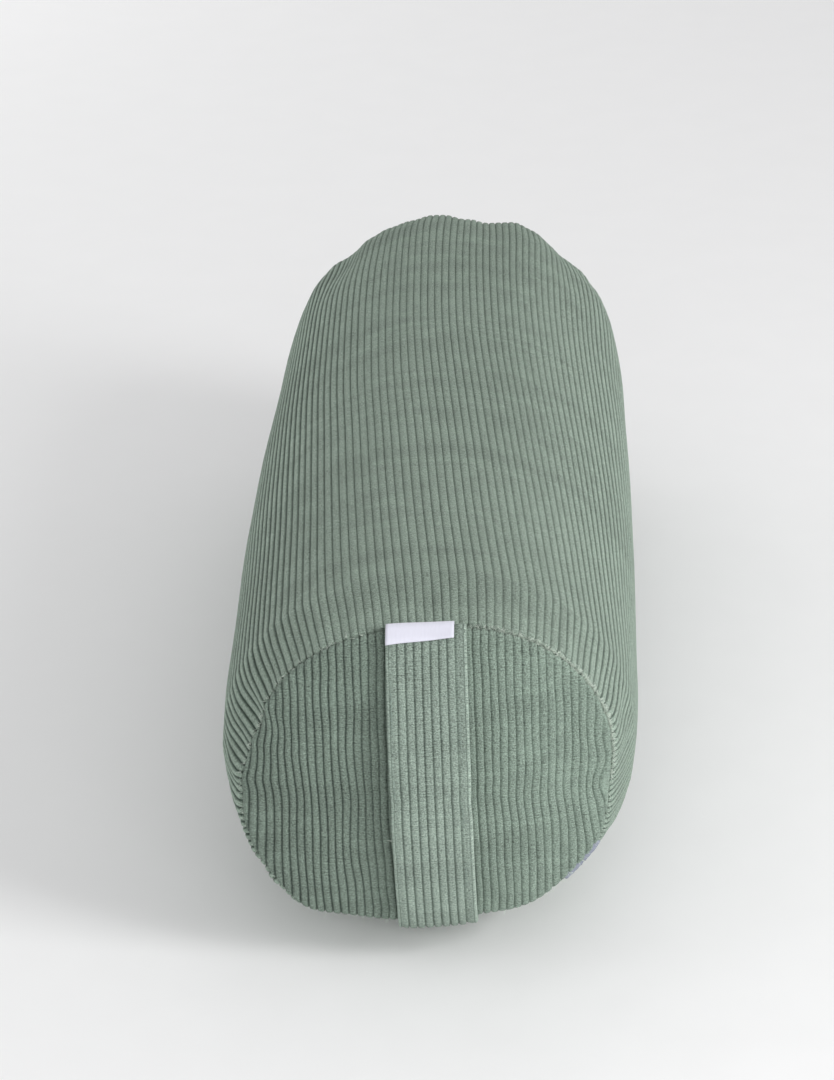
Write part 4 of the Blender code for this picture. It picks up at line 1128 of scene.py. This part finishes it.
def thread_bar(name, node, threads=9, beads_across=7):
    """The stop: threads sewn side by side across both rows of the coil."""
    low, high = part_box(node)
    point, out = on_section(0.0)
    middle = np.array([point[0], (low[1] + high[1]) / 2, point[1]])
    out = np.array([out[0], 0.0, out[1]])
    across = np.array([-out[2], 0.0, out[0]])
    top = -(TAPE_TOP - 2 * GAP - COIL_HIGH) + 0.0004
    half = COIL_HALF_GAP + COIL_WIDE + GAP
    beads = []
    # Each thread bends down at both sides and goes on down in two beads
    for i in range(threads):
        at = middle + [0, (i - threads // 2) * STOP_LONG / (threads + 0.4), 0]
        for share in np.linspace(-1, 1, beads_across):
            drop = 0.0012 * abs(share) ** 5
            beads.append((at + across * (share * half) + out * (top - drop), across))
        for side in (-1, 1):
            for level in (0.0008, 0.0018):
                beads.append((at + across * (side * (half + 0.0004)) + out * (top - level), out))
    points, along = (np.array(part) for part in zip(*beads))
    return run_of(name, points, along, (0, 1, 0), STITCH, MAT["bar"], Length=0.0018)


# Inner pillow
PILLOW_COLUMNS = 120
SLIDER_PLATE = 0.0011


def pillow_depth(s):
    """Depth of the pillow: against the cover, deeper under the zip and its slider."""
    far = from_zip(s)
    lane = TAPE_LOW + SLIDER_PLATE + 4 * GAP
    deep = CLOTH + GAP + (TAPE_LOW - CLOTH) * smooth((EDGE + HEM + 0.006 - far) / 0.004)
    return deep + (lane - deep) * smooth((EDGE + CLOTH + 0.0036 - far) / 0.0030)


def pillow_grid(under, angles):
    """Wall of the pillow at a depth under its outside."""
    s = np.linspace(0, GIRTH, PILLOW_COLUMNS + 1)[:-1]
    start = pillow_depth(s) + under
    rows = []
    for end, _, t in stations(angles, 25):
        if end == 0:
            rows.append(place(s, start, t))
            continue
        stop = draw_in(s, end) + PILLOW_IN
        y = STRAIGHT + (ROUNDING - PILLOW_SHORT - under) * math.sin(t)
        rows.append(place(s, start + (stop - start) * drawn_share(s, t), end * y))
    return np.array(rows)


def cap_grid(end, under):
    """End of the pillow from near its middle to its seam."""
    s = np.linspace(0, GIRTH, PILLOW_COLUMNS + 1)[:-1]
    middle = np.array([-end * SEAM_SHIFT, 0.0, SEAM_MIDDLE])
    ring = place(s, draw_in(s, end), 0.0) - middle
    rows = []
    for k in (0.03, 0.12, 0.24, 0.35, 0.46, 0.55, 0.62, 0.69, 0.755):
        y = dome(k) - CLOTH - 2 * GAP - under - 0.0075 * smooth((k - 0.5) / 0.27)
        rows.append(middle + ring * (k, 0, k) + (0, end * y, 0))
    y = HALF - PILLOW_SHORT + GAP + LINING - under
    seam = place(s, draw_in(s, end) + PILLOW_IN + 0.0002, end * y)
    rows += [(rows[-1] + seam) / 2, seam]
    return np.array(rows)


def pillow():
    """Calico wall and two ends, and the kapok inside them."""
    cols = PILLOW_COLUMNS
    angles = np.linspace(0, 90, 13)

    def ring(start):
        return list(range(start, start + cols))

    walls = [pillow_grid(under, angles) for under in (0, LINING)]
    points, faces = sheet_mesh(*walls, wrap=True)
    round_it = np.linspace(0, GIRTH, cols)
    cloth = cloth_map(np.linspace(0, 2 * HALF, len(walls[0])), round_it, round_it)
    made = [soft_piece("pillow_wall", points, faces, MAT["lining"], cloth)]
    for name, end in (("pillow_near_end", -1), ("pillow_far_end", 1)):
        caps = [cap_grid(end, under) for under in (0, LINING)]
        points, faces = sheet_mesh(*caps, wrap=True)
        outside, inside = ring(0), ring(len(caps[0]) * cols)
        hole = {*outside, *inside}
        faces = [f for f in faces if not set(f) <= hole] + [outside, inside[::-1]]
        made.append(soft_piece(name, points, faces, MAT["lining"], points[:, [0, 2]]))
    under = LINING + GAP
    far, near = (cap_grid(end, under + GAP)[:-2] for end in (1, -1))
    body = np.concatenate([far, pillow_grid(under, angles[:-1]), near[::-1]])
    rows = len(body)
    random = waves(np.arange(cols) / cols * 9, np.arange(rows)[:, None] / rows * 14, 71)
    middle = body.mean(axis=1, keepdims=True)
    body = body + (middle - body) * (0.006 + 0.006 * random[..., None])
    faces = grid_faces(rows, cols, True) + [ring(0), ring((rows - 1) * cols)[::-1]]
    made.append(soft_piece("kapok", body.reshape(-1, 3), faces, MAT["kapok"]))
    return made


# Loose fibres on the near seam
def seam_fibres():
    """Cut fibres that stand out of the near seam, most of them on the upper right."""
    random = np.random.default_rng(8)
    s = random.uniform(0, GIRTH, 5200)
    point, _ = on_section(s)
    right = smooth((point[:, 0] - 0.02) / 0.05) * smooth((point[:, 1] - 0.085) / 0.04)
    s = s[random.uniform(0, 1, len(s)) < 0.10 + 0.90 * right]
    inset = draw_in(s, -1) + GAP + random.uniform(-0.0003, 0.0006, len(s))
    y = -(HALF + random.uniform(-0.0006, 0.0022, len(s)))
    _, out = on_section(s)
    along = np.stack([out[:, 0], random.uniform(-1.2, 0.4, len(s)), out[:, 1]], -1)
    along /= np.linalg.norm(along, axis=1, keepdims=True)
    return run_of("seam_fibres", settle(place(s, inset, y)), along, (0, 1, 0), FUZZ,
                  MAT["fibre"])


def loose_thread():
    """A cut end of thread that lies at the strap's left edge."""
    z = 0.080
    at = (strap_x(z) - STRAP_WIDE / 2 - 0.0012, -HALF - FOLD - CROWN * 0.9, z)
    return run_of("loose_thread", settle([at]), (-0.97, -0.1, 0.2), (0, -1, 0), STITCH,
                  MAT["fibre"], Length=0.0044, Thread=0.0004)


def keep_piece(piece, slot, *nodes):
    """Rides on the bolster and stands for its CAD nodes, which it hides; slot is not used."""
    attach(piece, "bolster")
    if nodes:
        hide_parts(*nodes)
    return piece


cover = keep_piece(body_panel(), "corduroy_body", "cover_body_panel")
near_disc = keep_piece(end_disc("cover_near_end", -1), "corduroy_ends", "cover_front_disc")
far_disc = keep_piece(end_disc("cover_far_end", 1), "corduroy_ends", "cover_back_disc")
strap = keep_piece(carry_strap(), "corduroy_strap", "handle_strap")
keep_piece(strap_stitching(), "corduroy_strap")
folded_label = keep_piece(label(), "woven_label_satin", "woven_label")
for row, side in (("upper", 1), ("lower", -1)):
    keep_piece(zip_tape("tape_" + row, side), "zip_tape_polyester",
                            "zip_tape_" + row)
    keep_piece(zip_coil("coil_" + row, side), "zip_coil_nylon", "zip_coil_" + row)
for where in ("near", "far"):
    keep_piece(thread_bar("thread_bar_" + where, "zip_stop_" + where), "bar_tack_thread",
               "zip_stop_" + where)
keep_piece(hem_stitching(), "corduroy_body")
keep_piece(seam_fibres(), "corduroy_body")
keep_piece(loose_thread(), "corduroy_strap")
pillow_wall, *pillow_ends, kapok = pillow()
keep_piece(pillow_wall, "cotton_lining", "liner_body_panel")
keep_piece(pillow_ends[0], "cotton_lining", "liner_front_disc")
keep_piece(pillow_ends[1], "cotton_lining", "liner_back_disc")
keep_piece(kapok, "kapok_fibre", "kapok_filling")
for node in ("zip_slider", "zip_pull"):
    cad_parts[node].material_slots[0].material = MAT["zinc"]

# Camera, floor and light
PHOTO_WIDE, PHOTO_HIGH = 834, 1080
FOCAL_PX = 3374.1
SENSOR_MM = 36.0
EYE = Vector((0.067, -1.8247, 0.9567))
PITCH, YAW, ROLL = 0.4403, -0.04528, -0.02      # radians: down, to the side, leaning


def look_through():
    """The photograph's camera."""
    ahead = Vector((math.sin(YAW) * math.cos(PITCH), math.cos(YAW) * math.cos(PITCH),
                    -math.sin(PITCH)))
    right = Vector((math.cos(YAW), -math.sin(YAW), 0))
    up = right.cross(ahead)
    right, up = (right * math.cos(ROLL) + up * math.sin(ROLL),
                 up * math.cos(ROLL) - right * math.sin(ROLL))
    camera = bpy.data.objects.new("camera", bpy.data.cameras.new("camera"))
    camera.data.sensor_width = SENSOR_MM
    camera.data.lens = FOCAL_PX / max(PHOTO_WIDE, PHOTO_HIGH) * SENSOR_MM
    camera.data.clip_start = 0.05
    matrix = Matrix((right, up, -ahead)).transposed().to_4x4()
    matrix.translation = EYE
    camera.matrix_world = matrix
    bpy.context.scene.collection.objects.link(camera)
    bpy.context.scene.camera = camera


# Soft oblong lights: place, what they look at, width, height and power in watts
LIGHTS = {"window": ((1.83, -1.09, 1.10), (0, 0.05, 0.05), 0.8, 1.2, 33.5),
          "front": ((0.2, -2.6, 1.3), (0, -0.3, 0), 2.4, 1.0, 17),
          "left": ((-2.0, -0.3, 0.9), (0, 0.05, 0.05), 1.4, 1.2, 3),
          "reflector": ((-1.5, 1.3, 0.5), (0, 0.25, 0.08), 2.4, 0.9, 9.5),
          "back": ((0.42, 3.67, 2.40), (0, 1.3, 0), 3.0, 2.0, 18)}

look_through()
for name, (spot, aim, wide, high, power) in LIGHTS.items():
    lamp = bpy.data.objects.new(name, bpy.data.lights.new(name, "AREA"))
    lamp.data.shape = "RECTANGLE"
    lamp.data.size = wide
    lamp.data.size_y = high
    lamp.data.energy = power
    lamp.location = spot
    lamp.rotation_euler = (Vector(aim) - Vector(spot)).to_track_quat("-Z", "Y").to_euler()
    bpy.context.scene.collection.objects.link(lamp)
# Matt white studio paper
PAPER = grained("paper_studio_floor", "F0F0F0", 40.0, 0.9, 0.006, 0.05)
SPREAD, UNDER = 6, -0.0002
make_mesh("floor", [(-SPREAD, -SPREAD, UNDER), (SPREAD, -SPREAD, UNDER),
                             (SPREAD, SPREAD, UNDER), (-SPREAD, SPREAD, UNDER)],
                   [(0, 1, 2, 3)], PAPER)
world = bpy.data.worlds.new("studio")
world.use_nodes = True
sky = world.node_tree.nodes["Background"].inputs
sky["Color"].default_value = linear("F4F4F5")
sky["Strength"].default_value = 0.62
bpy.context.scene.world = world
bpy.context.scene.view_settings.view_transform = "Standard"
